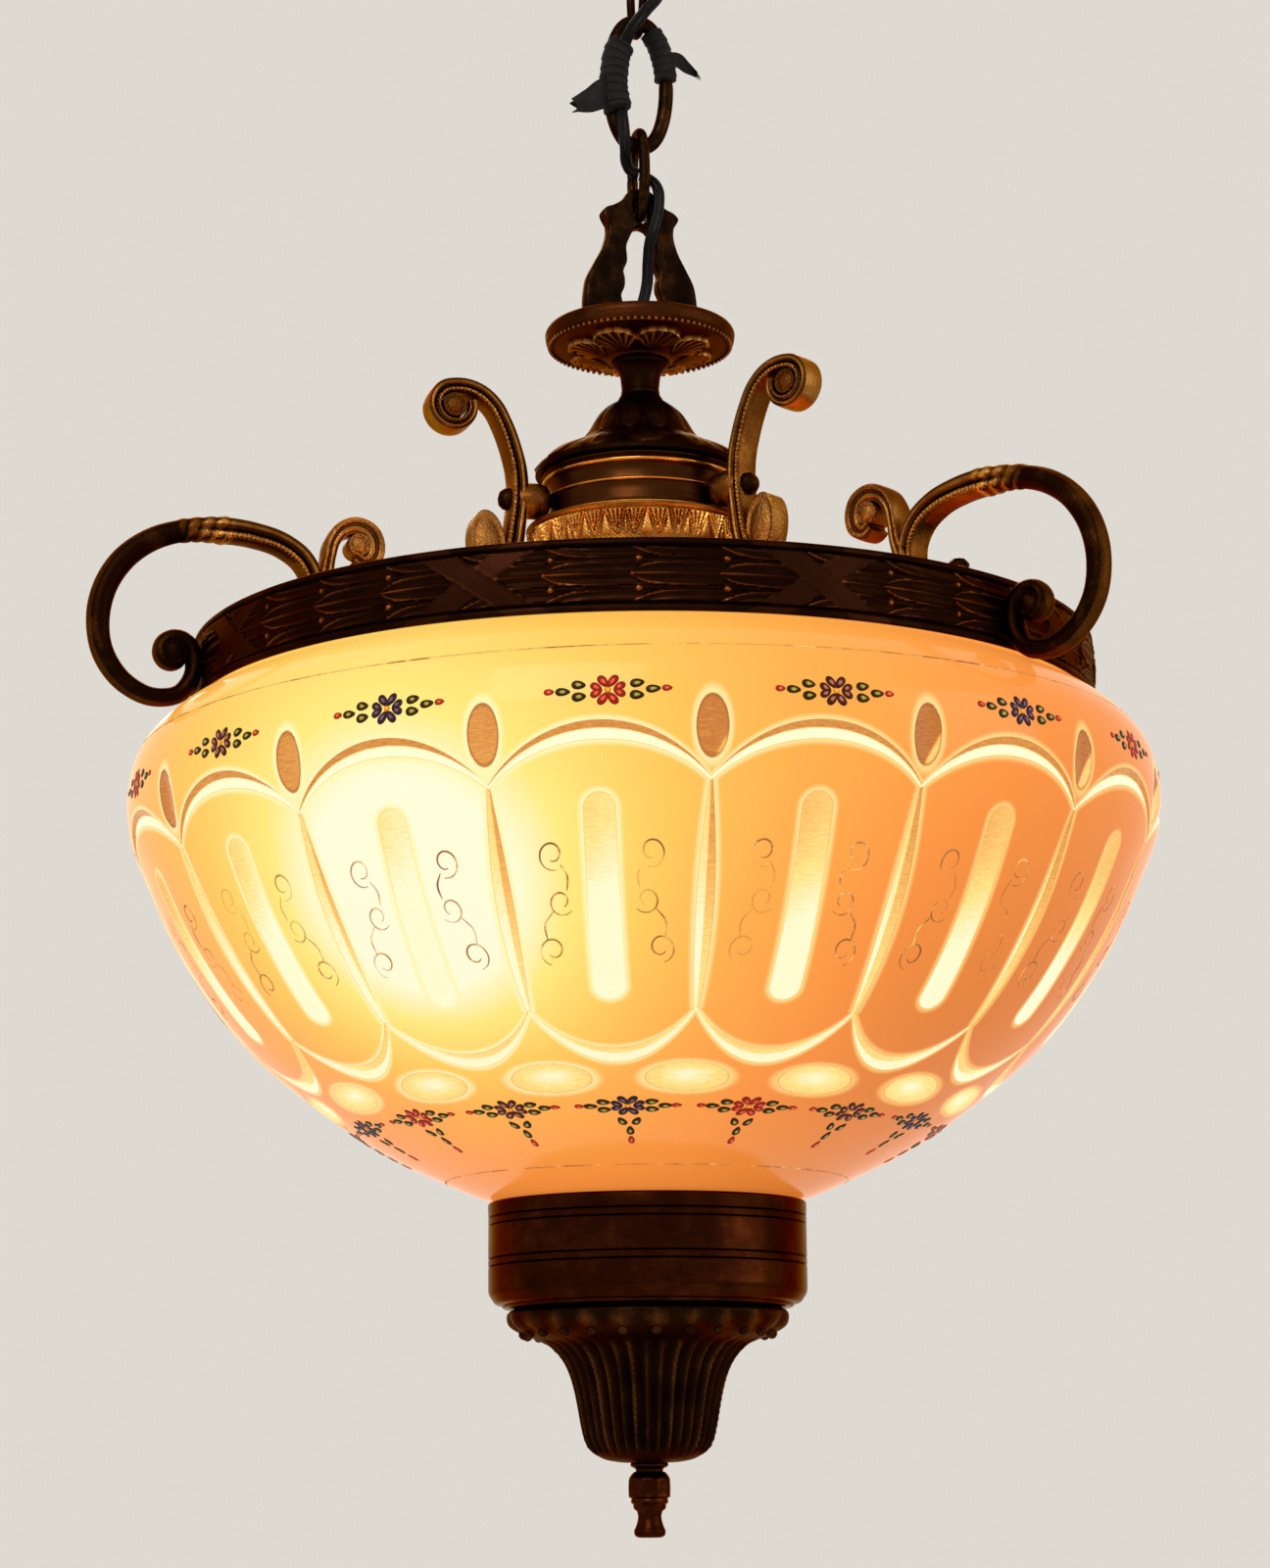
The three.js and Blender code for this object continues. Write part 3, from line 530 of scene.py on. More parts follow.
red_bronze = aged_metal("dish_bronze", "1c0b04", "4e270f", "a26a34", (0.28, 0.46), 70, 0.5)
dish_line = evenly(moulding(
    (bore, -172.2, 0), (26, -172.2, 0), (33.4, -170.2, 0.3), (35.6, -167.2, -0.4),
    (37.4, -167.3, 0.5), (38.0, -170.9, 0.5), (36.9, -173.4, 0.3), (35.6, -173.4, 0),
    (34.6, -173.9, -0.4), (11.2, -180, -1.0), (bore, -180, 0), fine=14), 170)
under = np.clip((-172 - dish_line[:, 1:]) / 1.5, 0, 1) * (dish_line[:, :1] < 35)
lift = under * shell_relief(dish_line[:, :1], full_turn(560))
# The raised shells and the beads are painted lighter as highlights.
surface("embossed_dish", turned(dish_line, 560, lift), red_bronze, "red_bronze", along=True,
        replaces=("dish",), proud=0.34 + 0.36 * lift)
surface("dish_beads", bead_row(84, 36.5, -173.7, 0.85), red_bronze, "red_bronze", proud=0.7)

# Top body: a spun neck, a cast dome of overlapping leaves, a turned band with two beads and a
# stamped gallery ring, threaded on the centre tube one over the other.
lacquered_brass = aged_metal("lacquered_brass", "1c0c04", "4c280f", "dc9a48", (0.2, 0.36), 55, 0.6,
                             drawn=(0.15, 0.15, 3), pits=0.00003)
dark_bronze = aged_metal("leaf_bronze", "0b0402", "221006", "5c3418", (0.3, 0.5), 70, 0.4)
gold_brass = aged_metal("gallery_brass", "44220a", "ac6c2a", "f0b058", (0.25, 0.4), 60, 0.5)
surface("spun_neck", turned(moulding(
    (bore, -180.2, 0), (11.0, -180.2, 0), (11.2, -181.8, 0.3), (7.9, -188, -0.9),
    (7.5, -192, 0), (7.8, -194.2, 0.1), (8.5, -195.2, 0), (bore, -195.2, 0))),
    dark_bronze, "brown_brass", along=True, replaces=("neck_sleeve",), proud=0.35)


def relief_ring(name, node, finish, slot, line, lift, proud, back, back_proud):
    """Turned piece whose outer line carries a relief and whose back is a plain line."""
    columns = lift.shape[1]
    surface(name, np.concatenate([turned(line, columns, lift), turned(back, columns)]), finish,
            slot, along=True, replaces=(node,),
            proud=np.vstack([proud, np.full((len(back), columns), back_proud)]))


def dome_relief(height, angle):
    """Two rows of twelve leaves: each is a rounded tongue with a midrib, the lower row set
    between the tips of the upper."""
    half_leaf = math.pi / 12
    rows = []
    for top, tip, turn in ((-198, -214, 0.0), (-208, -226, half_leaf)):
        down = np.clip((top - height) / (top - tip), 0, 1.4)
        off = np.abs(off_nearest(angle + turn, 2 * half_leaf)) / half_leaf
        width = np.clip(1 - down**4, 0, 1)**0.5 * 0.97
        tongue = np.sqrt(np.maximum(1 - (off / np.maximum(width, 0.01))**2, 0)) * (off < width)
        rib = hump(off, 0, 0.07) + 0.35 * hump(off, 0.45, 0.06)
        rows.append((down > 0) * (tongue * (0.35 + 0.65 * down) + 0.25 * rib * (tongue > 0)))
    return np.maximum(*rows)


dome_line = through([[8.6, -195.5], [10.2, -197.8], [13.4, -200.2], [16.2, -203], [18.4, -206.4],
                     [20.4, -210.2], [22.9, -213.8], [27.4, -216.6], [32.4, -218.9], [36.8, -221.2],
                     [40.2, -223.9], [42.2, -226.4], [42.3, -227.9]], 90)
lift = 0.75 * dome_relief(dome_line[:, 1:], full_turn(432))
relief_ring("leaf_dome", "dome_cover", dark_bronze, "dark_bronze", dome_line, lift, 0.25 + 0.6 * lift,
            [[38.8, -228], [30, -221], [14, -206], [bore, -199], [bore, -195.5]], 0.3)
band_line = moulding(
    (33.5, -228.3, 0), (39.4, -228.3, 0), (39.6, -229.4, 0.2), (38.3, -230.2, -0.2),
    (38.3, -232.7, 1.2), (37.9, -233.0, 0), (37.6, -238.4, -0.3), (38.3, -238.7, 0),
    (38.3, -240.0, 0.7), (37.8, -240.3, 0), (37.7, -245.2, -0.3), (40.6, -248.8, -1.1),
    (41.6, -249.6, 0.3), (41.6, -250.2, 0.1), (34.5, -250.2, 0))
# The bead edges are painted bright as glints.
bead_glint = sum(hump(band_line[:, 1:], *edge) for edge in ((-231.4, 0.9), (-239.3, 0.7), (-249.3, 1.6)))
surface("turned_band", turned(band_line, 160), lacquered_brass, "brown_brass", along=True,
        replaces=("body_band",), proud=0.36 + 0.64 * np.minimum(bead_glint, 1))
gallery_fans, gallery_top, gallery_foot = 34, -253.4, -263.4


def gallery_relief(height, angle):
    """Frieze of ribbed fans, each a V of spreading ribs with a broad leaf leaning between it and
    the next, above a granulated band. The fans lean by turns, as hand-cut dies give them."""
    down = np.clip((gallery_top - height) / (gallery_top - gallery_foot), 0, 1)
    step = 2 * np.pi / gallery_fans
    number = np.floor(angle / step + 0.5)
    off = off_nearest(angle, step) / (step / 2) + 0.25 * np.sin(2.4 * number) * down
    spread = np.clip(0.95 - 0.12 * np.cos(3.3 * number) - 0.93 * down, 0.04, 1)
    fan = off / spread
    ribs = np.where(np.abs(fan) < 1, (0.5 + 0.5 * np.cos(4 * np.pi * fan))**0.8, 0)
    beside = (1 - np.abs(off)) / np.clip(0.9 * down, 0.05, 1)
    leaf = np.sqrt(np.clip(1 - (beside / 0.5)**2, 0, 1)) * np.sin(np.pi * down)**0.6
    frieze = np.maximum.reduce([0.9 * ribs * (1 - down)**0.3, hump(np.abs(off), spread, 0.07),
                                0.85 * leaf])
    grains = 0.12 * np.sin(170 * angle + 9 * height) * np.sin(5.1 * height + 31 * angle)
    return np.where((down > 0) & (down < 1), frieze, 0) + grains


gallery_line = evenly(moulding(
    (33.2, -250.6, 0), (45.4, -250.6, 0), (46.0, -251.9, 0.4), (45.1, -253.0, -0.2), (45, -253.4, 0),
    (44.2, -266.6, -0.5), (44.7, -267.2, 0.2), (44.5, -268.4, 0.3), (44.1, -268.8, -0.1),
    (43.4, -270.9, 0.4), (41, -270.9, 0), fine=6), 110)
radius, height = gallery_line[:, :1], gallery_line[:, 1:]
face = (radius > 43.5) & (height < -253.2) & (height > -266.8)
lift = face * gallery_relief(height, full_turn(780))
# The raised fans and leaves of the frieze are painted lighter as highlights.
relief_ring("gallery_frieze", "gallery_ring", gold_brass, "gold_brass", gallery_line, 1.1 * lift,
            0.3 + 0.6 * lift, [[42, -254], [33.2, -252.4]], 0.4)

# Arms: three gilt-brass castings, each screwed to the band by an ear and to the ring's flange. An
# S-scroll, a small scroll, a big C-scroll and a hammered lobe spring from one bar.
arm_half_width = 5.5
arm_turns = {"left": -90, "right": 30, "back": 150}
arm_screw_height = -242


def arm_brass_finish():
    """Gilt brass worn to brown: lighter on the raised rims as painted highlights, darker in the
    grooves, painted dark down the plain end as shade, grainy where the mould was stippled."""
    finish = aged_metal("arm_brass", "1c0b03", "6b3d15", "d0934a", (0.2, 0.4), 80, 0.6, pits=0)
    where = place_on_piece(finish)
    feed(finish, Normal=relief(cloud(where, 1150, 2, 0.5) * mark(finish, "stippled")
                               + cloud(where, 300, 5, 0.6) * 0.12, 0.0009))
    return finish


def curl(eye, start, turn, first, last):
    """Points of a curl: the radius about the eye runs from first to last as it turns."""
    share = np.linspace(0, 1, 15)
    way, radius = np.radians(start + turn * share), first + (last - first) * share
    return joined(eye[0] + radius * np.cos(way), eye[1] + radius * np.sin(way)).tolist()


side = np.linspace(0.84, -0.84, 17)
edge = np.array([[-0.98, 0.86], [-1.04, 0.5], [-1.06, 0], [-1.04, -0.5], [-0.98, -0.86]])
bar_section = np.concatenate([joined(side, 1), edge, joined(-side, -1), -edge])  # out, across
bead_pitch, helix_pitch = 1.8, 5.2


def strand(points, half_thickness, step, plain=(1e9, 1e9), twist=(1e9, 1e9), smooth_from=1e9,
           grooved=1.5):
    """Bar along a scroll. Each flat side has a beaded rim outside, a groove in its middle and a
    smooth band inside. Between the plain distances it turns into a round bar, between the twist
    ones leaf bands wind round it as a helix. Returns the points, the proud mark and
    stipple."""
    route = [[r, 0, z] for r, z in points]
    length = distances(through(route, 400))[-1]
    steps = int(length / step)
    at = np.linspace(0, length, steps)[:, None]
    half = np.interp(at, np.linspace(0, length, len(half_thickness)), half_thickness)
    rounded = np.clip((at - plain[0]) / max(plain[1] - plain[0], 1), 0, 1)
    out, across = bar_section.T
    way = np.arctan2(across, out)
    flat = (np.abs(across) > 0.99) * (1 - rounded)
    beads = (0.5 + 0.5 * np.cos(2 * np.pi * at / bead_pitch)) * np.clip((smooth_from - at) / 12, 0, 1)
    rim = hump(out, 0.6, 0.24) * (0.3 + 0.5 * beads)
    groove = hump(out, 0.1, 0.2)
    fall = 0.9 * np.clip((-0.55 - out) / 0.35, 0, 1)
    height = flat * (rim - grooved * groove * np.clip(half / 3.2, 0.5, 1)
                     + 0.3 * hump(out, -0.42, 0.24) - fall)
    helix = np.clip(np.minimum(at - twist[0], twist[1] - at) / 3, 0, 1) * (
        0.5 + 0.5 * np.cos(2 * np.pi * (at / helix_pitch + way / np.pi)))**0.6
    # Colour mark: lighter on the rims and leaf bands as painted highlights, a little lighter along
    # one edge, and painted darker down the plain round end as shade.
    proud = 0.5 + 0.32 * height - 0.34 * rounded + 0.35 * helix + 0.14 * (out < -0.9)
    stipple = 0.15 + 0.85 * flat * (rim + 0.35 * groove > 0.2)
    out = out * (1 - rounded) + np.cos(way) * rounded
    across = across * (1 - rounded) + np.sin(way) * rounded
    wide = arm_half_width * np.clip(0.4 + half / 3, 0.5, 1) * (1 - 0.14 * rounded)
    section = joined(half * out + 0.5 * helix * np.cos(way),
                     wide * across + height * np.sign(across) + 0.5 * helix * np.sin(way))
    grid = sweep(through(route, steps), np.tile([0.0, 1.0, 0], (steps, 1)), section)
    return grid, proud, stipple


def eye_button(centre, radius, half, long=1.0, lean=0.0):
    """Button across a casting: a dome in a ring groove on each side, round as a volute's eye, or
    an ellipse long times as long as wide and leaning outwards by lean, as the lobe by the stem."""
    share = radius * np.array([0.01, 0.25, 0.45, 0.6, 0.7, 0.78, 0.86, 0.94, 1.0])
    height = half - 1.2 + np.array([1.5, 1.4, 1.1, 0.7, 0.1, 0.1, 0.6, 0.6, 0.1])
    reach, across = np.r_[share, share[::-1]][:, None], np.r_[height, -height[::-1]][:, None]
    out, up = reach * np.cos(full_turn(32)), reach * np.sin(full_turn(32)) * long
    return joined(centre[0] + out * math.cos(lean) + up * math.sin(lean), across,
                  centre[1] + up * math.cos(lean) - out * math.sin(lean))


def boss(line):
    """Turned shape across the band at an arm's screw, through [distance out, radius] points."""
    out, radius = np.array(line).T[..., None]
    way = full_turn(32)
    return joined(out, radius * np.cos(way), arm_screw_height + radius * np.sin(way))


def at_arm(grid, turn):
    """Turns an arm's points from straight along +X to its place round the lamp."""
    out, across, up = np.moveaxis(grid, -1, 0)
    return at_angle(math.radians(turn), out, up, across)


arm_parts = {
    "s_scroll": strand(
        [[158, -297.2], [148, -297], [130, -295.6], [106, -291.6], [82, -285.6], [64, -277],
         [55.6, -266], [52.8, -252], [51.7, -241], [52.3, -230], [54.4, -221.6], [58, -212],
         [61.6, -205.4], [66.8, -200.6], [72.4, -198.4]] + curl((78.5, -206.5), 88, -286, 8.2, 7.5),
        [3, 3.4, 4, 4, 4, 3.9, 3.6, 3.3, 3.1, 2.9, 2.6, 1.9], 0.5, smooth_from=207),
    "c_scroll": strand(
        [[136, -297], [134, -289], [134.2, -281], [138.2, -273.6], [145.8, -268.2], [157, -265],
         [170, -264], [184, -265.2], [196, -269.4], [206.4, -277.4], [213.4, -288.4],
         [216.2, -301], [213.8, -315.6], [205.8, -326], [194.6, -330.9], [184.6, -328.8],
         [179.9, -321.6]] + curl((187.4, -313.8), 180, -340, 7.5, 3.2),
        [3.4, 3.7, 3.9, 4.2, 4.5, 4.7, 4.6, 4.2, 3.6, 3.4, 3.2, 2.2], 0.5, plain=(58, 72),
        twist=(54, 76)),
    "small_scroll": strand(
        [[138, -296], [132.8, -288], [129.6, -280], [128.2, -272.4], [126.6, -265.6],
         [122.8, -260.6], [117.4, -258.8], [112.2, -261.2], [110, -266.4], [110.9, -271],
         [114.4, -273.2], [117.6, -271.4]],
        [4, 3.4, 2.7, 2.4, 2.8, 3.3, 3.9, 3.7, 2.6], 0.42, smooth_from=0, grooved=0.5)}
eyes = np.stack([eye_button((78.5, -206.5), 4.9, 6.1), eye_button((187.4, -313.8), 4.8, 5.5),
                 eye_button((116.6, -266.6), 4.5, 5.9),
                 eye_button((64.6, -261), 7.0, 5.4, 1.85, 0.12)])
# The C-scroll's eye is painted darker than the others, as shade.
eye_proud = np.reshape([0.45, 0.16, 0.6, 0.62], (4, 1, 1))
ear = boss([[39.4, 5.2], [40.4, 6.6], [43, 7.2], [47, 7.2], [50, 6.4], [52, 5.4]])
screw = boss([[34, 2], [54.6, 2], [54.7, 4.2], [55.6, 4.5], [57.2, 4.2], [58.8, 2.9], [59.7, 0.02]])
arm_brass = arm_brass_finish()
for key, turn in arm_turns.items():
    for part, (grid, proud, stipple) in arm_parts.items():
        surface(f"arm_{key}_{part}", at_arm(grid, turn), arm_brass, "gold_brass",
                replaces=(f"arm_{key}",), proud=proud, stippled=stipple)
    surface(f"arm_{key}_eyes", at_arm(eyes, turn), arm_brass, "gold_brass", proud=eye_proud,
            stippled=0.7)
    surface(f"arm_{key}_ear", at_arm(ear, turn), arm_brass, "gold_brass", proud=0.5, stippled=0.3)
    surface(f"arm_{key}_screw", at_arm(screw, turn), dark_bronze, "dark_bronze",
            replaces=(f"arm_screw_{key}",), proud=0.5)

# Rim ring: pressed brass channel, nearly black with age, stamped with a running laurel garland
# bound by nine crossed ribbons. Its flange lies over the lip of the glass.
ring_radius, ring_top, ring_foot, ring_opening = 176.2, -300.5, -328.2, 149.5
laurel_count, ribbons, ribbon_start = 36, 9, 2.0
laurel_step = 2 * math.pi * ring_radius / laurel_count
ring_middle, garland_half, ring_columns = -314.8, 10.3, 1400


def laurel_relief(along, across):
    """Garland of scales: a leaf on the middle line and one along each border in every step. A
    leaf's half width grows from its tip as 1 - exp(-along / 4.5); its edges and midrib stand up,
    and it sinks as it runs under the tip of the next. Two berries sit beside each middle tip."""
    height = np.full_like(along, 0.15)
    aside = np.abs(across)
    for behind in (1, 0):
        at = along % laurel_step + behind * laurel_step
        sink = 0.95 - 0.42 * at / laurel_step
        half = 4.7 * (1 - np.exp(-at / 4.5)) * (1 - 0.1 * at / laurel_step)
        share = aside / np.maximum(half, 0.05)
        leaf = (sink + 0.34 * hump(share, 0.9, 0.13) + 0.34 * hump(across, 0, 0.4)
                - 0.3 * hump(share, 0.45, 0.25))
        height = np.where(share < 1, leaf, height)
        past = aside - 5.4 - 5.2 * np.exp(-at / 5.5)
        leaf = (sink + 0.34 * hump(past, 0.35, 0.4) + 0.3 * hump(past, 3.0, 0.45)
                - 0.1 * hump(past, 1.7, 0.9))
        height = np.where(past > 0, leaf, height)
    ball = 1 - (((along % laurel_step) - 3.0)**2 + (aside - 5.3)**2) / 1.35**2
    return np.maximum(height, 0.3 + 1.0 * np.sqrt(np.maximum(ball, 0)) * (ball > 0))


def ribbon_relief(along, across, step):
    """Flat ribbons wound crosswise: two slanting bands over the garland, the second one on top,
    each with raised edges and fine threads across it."""
    off = off_nearest(along, step)
    height, cover = np.zeros_like(along), np.zeros_like(along, bool)
    for slant, top in ((-1, 0.85), (1, 1.05)):
        beside = np.abs(off * 0.56 + slant * across * 0.83)
        threads = 0.07 * np.cos(5.6 * (off * 0.83 - slant * across * 0.56))
        height = np.where(beside < 4.3, top + 0.25 * hump(beside, 4.0, 0.35) + threads, height)
        cover = cover | (beside < 4.3)
    return height, cover


ring_line = moulding((ring_opening, -302.6, 0), (ring_opening, ring_top, 0), (169, ring_top, 0),
                     (175.4, -301.6, 0.3), (176.5, -302.8, 0.3), (176.4, -304.0, 0.2),
                     (175.4, -304.8, -0.2), (175.4, -324.8, 0.9), (176.8, -325.6, 0.2),
                     (177.3, -327.0, 0.3), (176.9, ring_foot, 0.2), (176.2, ring_foot, 0), fine=42)
face = (ring_line[:, 0] > 175.3) & (ring_line[:, 1] < -304.79) & (ring_line[:, 1] > -324.81)
keep = face.copy()  # every row of the garland's face, one in fourteen of the plain ones
keep[np.flatnonzero(~face)[::14]] = True
keep[[0, -1]] = True
ring_line, face = ring_line[keep], face[keep]
along, across = np.broadcast_arrays(full_turn(ring_columns) * ring_radius,
                                    ring_line[:, 1:] - ring_middle)
ribbon_lift, bound = ribbon_relief(along - math.radians(ribbon_start) * ring_radius, across,
                                   2 * np.pi * ring_radius / ribbons)
fade = np.clip((garland_half - np.abs(across)) / 0.9, 0, 1) * face[:, None]
lift = np.where(bound, ribbon_lift, laurel_relief(along, across)) * fade
# Leaf edges, midribs and berries are painted bright as highlights; the ribbons get one lighter tone.
garland_highlight = np.where(bound, 0.42, 1.3 * np.clip((lift - 0.75) / 0.5, 0, 1))
ring_dark = aged_metal("ring_bronze", "190a04", "34180c", "96501f", (0.26, 0.44), 60, 0.6)
relief_ring("laurel_ring", "rim_ring", ring_dark, "brown_brass", ring_line, 1.15 * lift,
            0.2 + 0.5 * garland_highlight, [[174.4, -325.4], [173.6, -306.4], [171.4, -303.2]], 0.2)

# Bowl: blown opal glass cased over clear, with a short neck under the ring. A wheel cut the
# sixteen windows, ovals, dots, arches and mitres through the opal down to the clear glass.
glass_wall = 4.5
panels = 16
half_panel = math.pi / panels
glass_line = through([[167.5, -309.2], [168, -319], [174.2, -327], [186, -335], [196.4, -346.5],
                      [200.4, -362], [199.4, -377], [192.4, -395.5], [175.6, -429], [152, -459.5],
                      [130, -478], [104, -496], [80, -508], [59, -516.4], [40, -519.6],
                      [24, -520.5]], 500)
glass_run = distances(glass_line)
glass_slope = unit(np.gradient(glass_line, axis=0))
window_top, window_foot, window_half_width = -395.5, -459.5, 5.6
oval, dot = (-375.2, 5.6, 11.0), (-483, 14.8, 7.5)  # height, half width, half length
arch_top, arch_cusp, arch_curve, arch_half_width = -375.8, -392.4, 0.74, 3.3
foot_low, foot_cusp, foot_curve, foot_half_width = -476.2, -462.5, 0.8, 3.5
mitre_half_width = 3.1
cut_depth = 1.3
lit_point, glow_reach = (-0.126, -0.126, -0.430), 0.11
first_window = -0.012


def run_at(height):
    """Distance in millimetres down the glass from its lip to a height."""
    return float(np.interp(-height, -glass_line[:, 1], glass_run))


def glass_radius(run):
    return np.interp(run, glass_run, glass_line[:, 0])


def on_glass(angle, run, lift=0.0):
    """Point on the outer face at an angle from -Y towards +X and a distance down from the lip,
    raised square to the face by lift. The cutter's upper rows sit a little askew: lower on the
    left of the photograph, higher on the right, level again at the lip and at the foot."""
    askew = np.interp(run, (0, run_at(-352), run_at(arch_cusp), run_at(foot_low)), (0, 1, 1, 0))
    run = run - askew * (1.3 + 3.8 * np.sin(angle + 0.31))
    height, lean_r, lean_z = (np.interp(run, glass_run, values) for values in (
        glass_line[:, 1], -glass_slope[:, 1], glass_slope[:, 0]))
    return at_angle(angle + first_window, glass_radius(run) + lift * lean_r, height + lift * lean_z)


# The next four take arrays for the mesh and shades for the material, so both cut alike.
def bent(share, curve):
    """Drop of a circular arc from 0 at its middle to 1 at its end."""
    return (1 - (1 - (share * curve)**2)**0.5) / (1 - math.sqrt(1 - curve**2))


def flutes(beside_window, beside_mitre, run):
    """Distance from the middle of the nearest window, oval and dot, 1 on its outline. A window is
    a straight slot with round ends, the other two are ellipses."""
    top, foot = run_at(window_top), run_at(window_foot)
    past = abs(run - (top + foot) / 2) - ((foot - top) / 2 - window_half_width)
    past = (past + abs(past)) / 2
    return [(beside_window**2 + past**2)**0.5 / window_half_width] + [
        ((beside_mitre / half_width)**2 + ((run - run_at(height)) / half_length)**2)**0.5
        for height, half_width, half_length in (oval, dot)]


def borders(share):
    """Run and half width of the arch cut and the foot cut at a share of the half panel."""
    return ((run_at(arch_top) + bent(share, arch_curve) * (run_at(arch_cusp) - run_at(arch_top)),
             arch_half_width * (1 - share**2 * 0.78)),
            (run_at(foot_low) - bent(share, foot_curve) * (run_at(foot_low) - run_at(foot_cusp)),
             foot_half_width * (1 - share**2 * 0.7)))


def down_mitre(run):
    """Share of the way down a mitre, which joins the arches' cusps to the feet's."""
    return (run - run_at(arch_cusp)) / (run_at(foot_cusp) - run_at(arch_cusp))


def bowl_grid():
    """Rows bend with the arches and feet of the panels, so that both V cuts have crisp edges;
    columns crowd together at the window and mitre edges. Windows, ovals and dots are rounded
    flutes, the mitres a V that widens and narrows as a sine."""
    share = np.linspace(0, 1, 400)
    crowd = 1 + 2.4 * hump(share, 0.19, 0.05) + 3.2 * hump(share, 1, 0.07)
    half = np.interp(np.linspace(0, 1, 23), np.r_[0, np.cumsum(crowd[1:])] / crowd[1:].sum(), share)
    panel = np.r_[-half[:0:-1], half[:-1]] * half_panel
    angle = (np.arange(panels)[:, None] * 2 * half_panel + panel).reshape(-1)
    off_window = np.abs(np.tile(panel, panels))
    keys = [0 * angle]
    for middle, wide in borders(off_window / half_panel):
        keys += [middle - wide - 0.8, middle - wide, middle, middle + wide, middle + wide + 0.8]
    keys.append(0 * angle + glass_run[-1])
    counts = [34, 1, 3, 3, 1, 42, 1, 3, 3, 1, 26]
    run = np.concatenate([a + (b - a) * np.linspace(0, 1, n, endpoint=False)[:, None]
                          for a, b, n in zip(keys, keys[1:], counts)] + [keys[-1][None]])
    beside_mitre = (half_panel - off_window) * glass_radius(run)
    down = down_mitre(run)
    wide = mitre_half_width * np.sin(np.pi * np.clip(0.06 + 0.86 * down, 0, 1))
    mitre = np.where((down > 0) & (down < 1), 1 - beside_mitre / np.maximum(wide, 0.05), 0)
    depth = np.maximum.reduce([0.9 * mitre, 0 * run] + [1 - shape**2 for shape in flutes(
        off_window * glass_radius(run), beside_mitre, run)])
    for middle, wide in borders(off_window / half_panel):
        depth = np.maximum(depth, 1 - np.abs(run - middle) / wide)
    back = np.linspace(glass_run[-1], 0, 12)[:, None]
    hub = [at_angle(angle, 7, glass_line[-1, 1] + up)[None] for up in (0, glass_wall)]
    grid = np.concatenate([on_glass(angle, run, -cut_depth * depth), *hub,
                           on_glass(angle, back, -glass_wall)])
    return grid, np.concatenate([run, np.full((2, len(angle)), glass_run[-1]), back + 0 * angle])


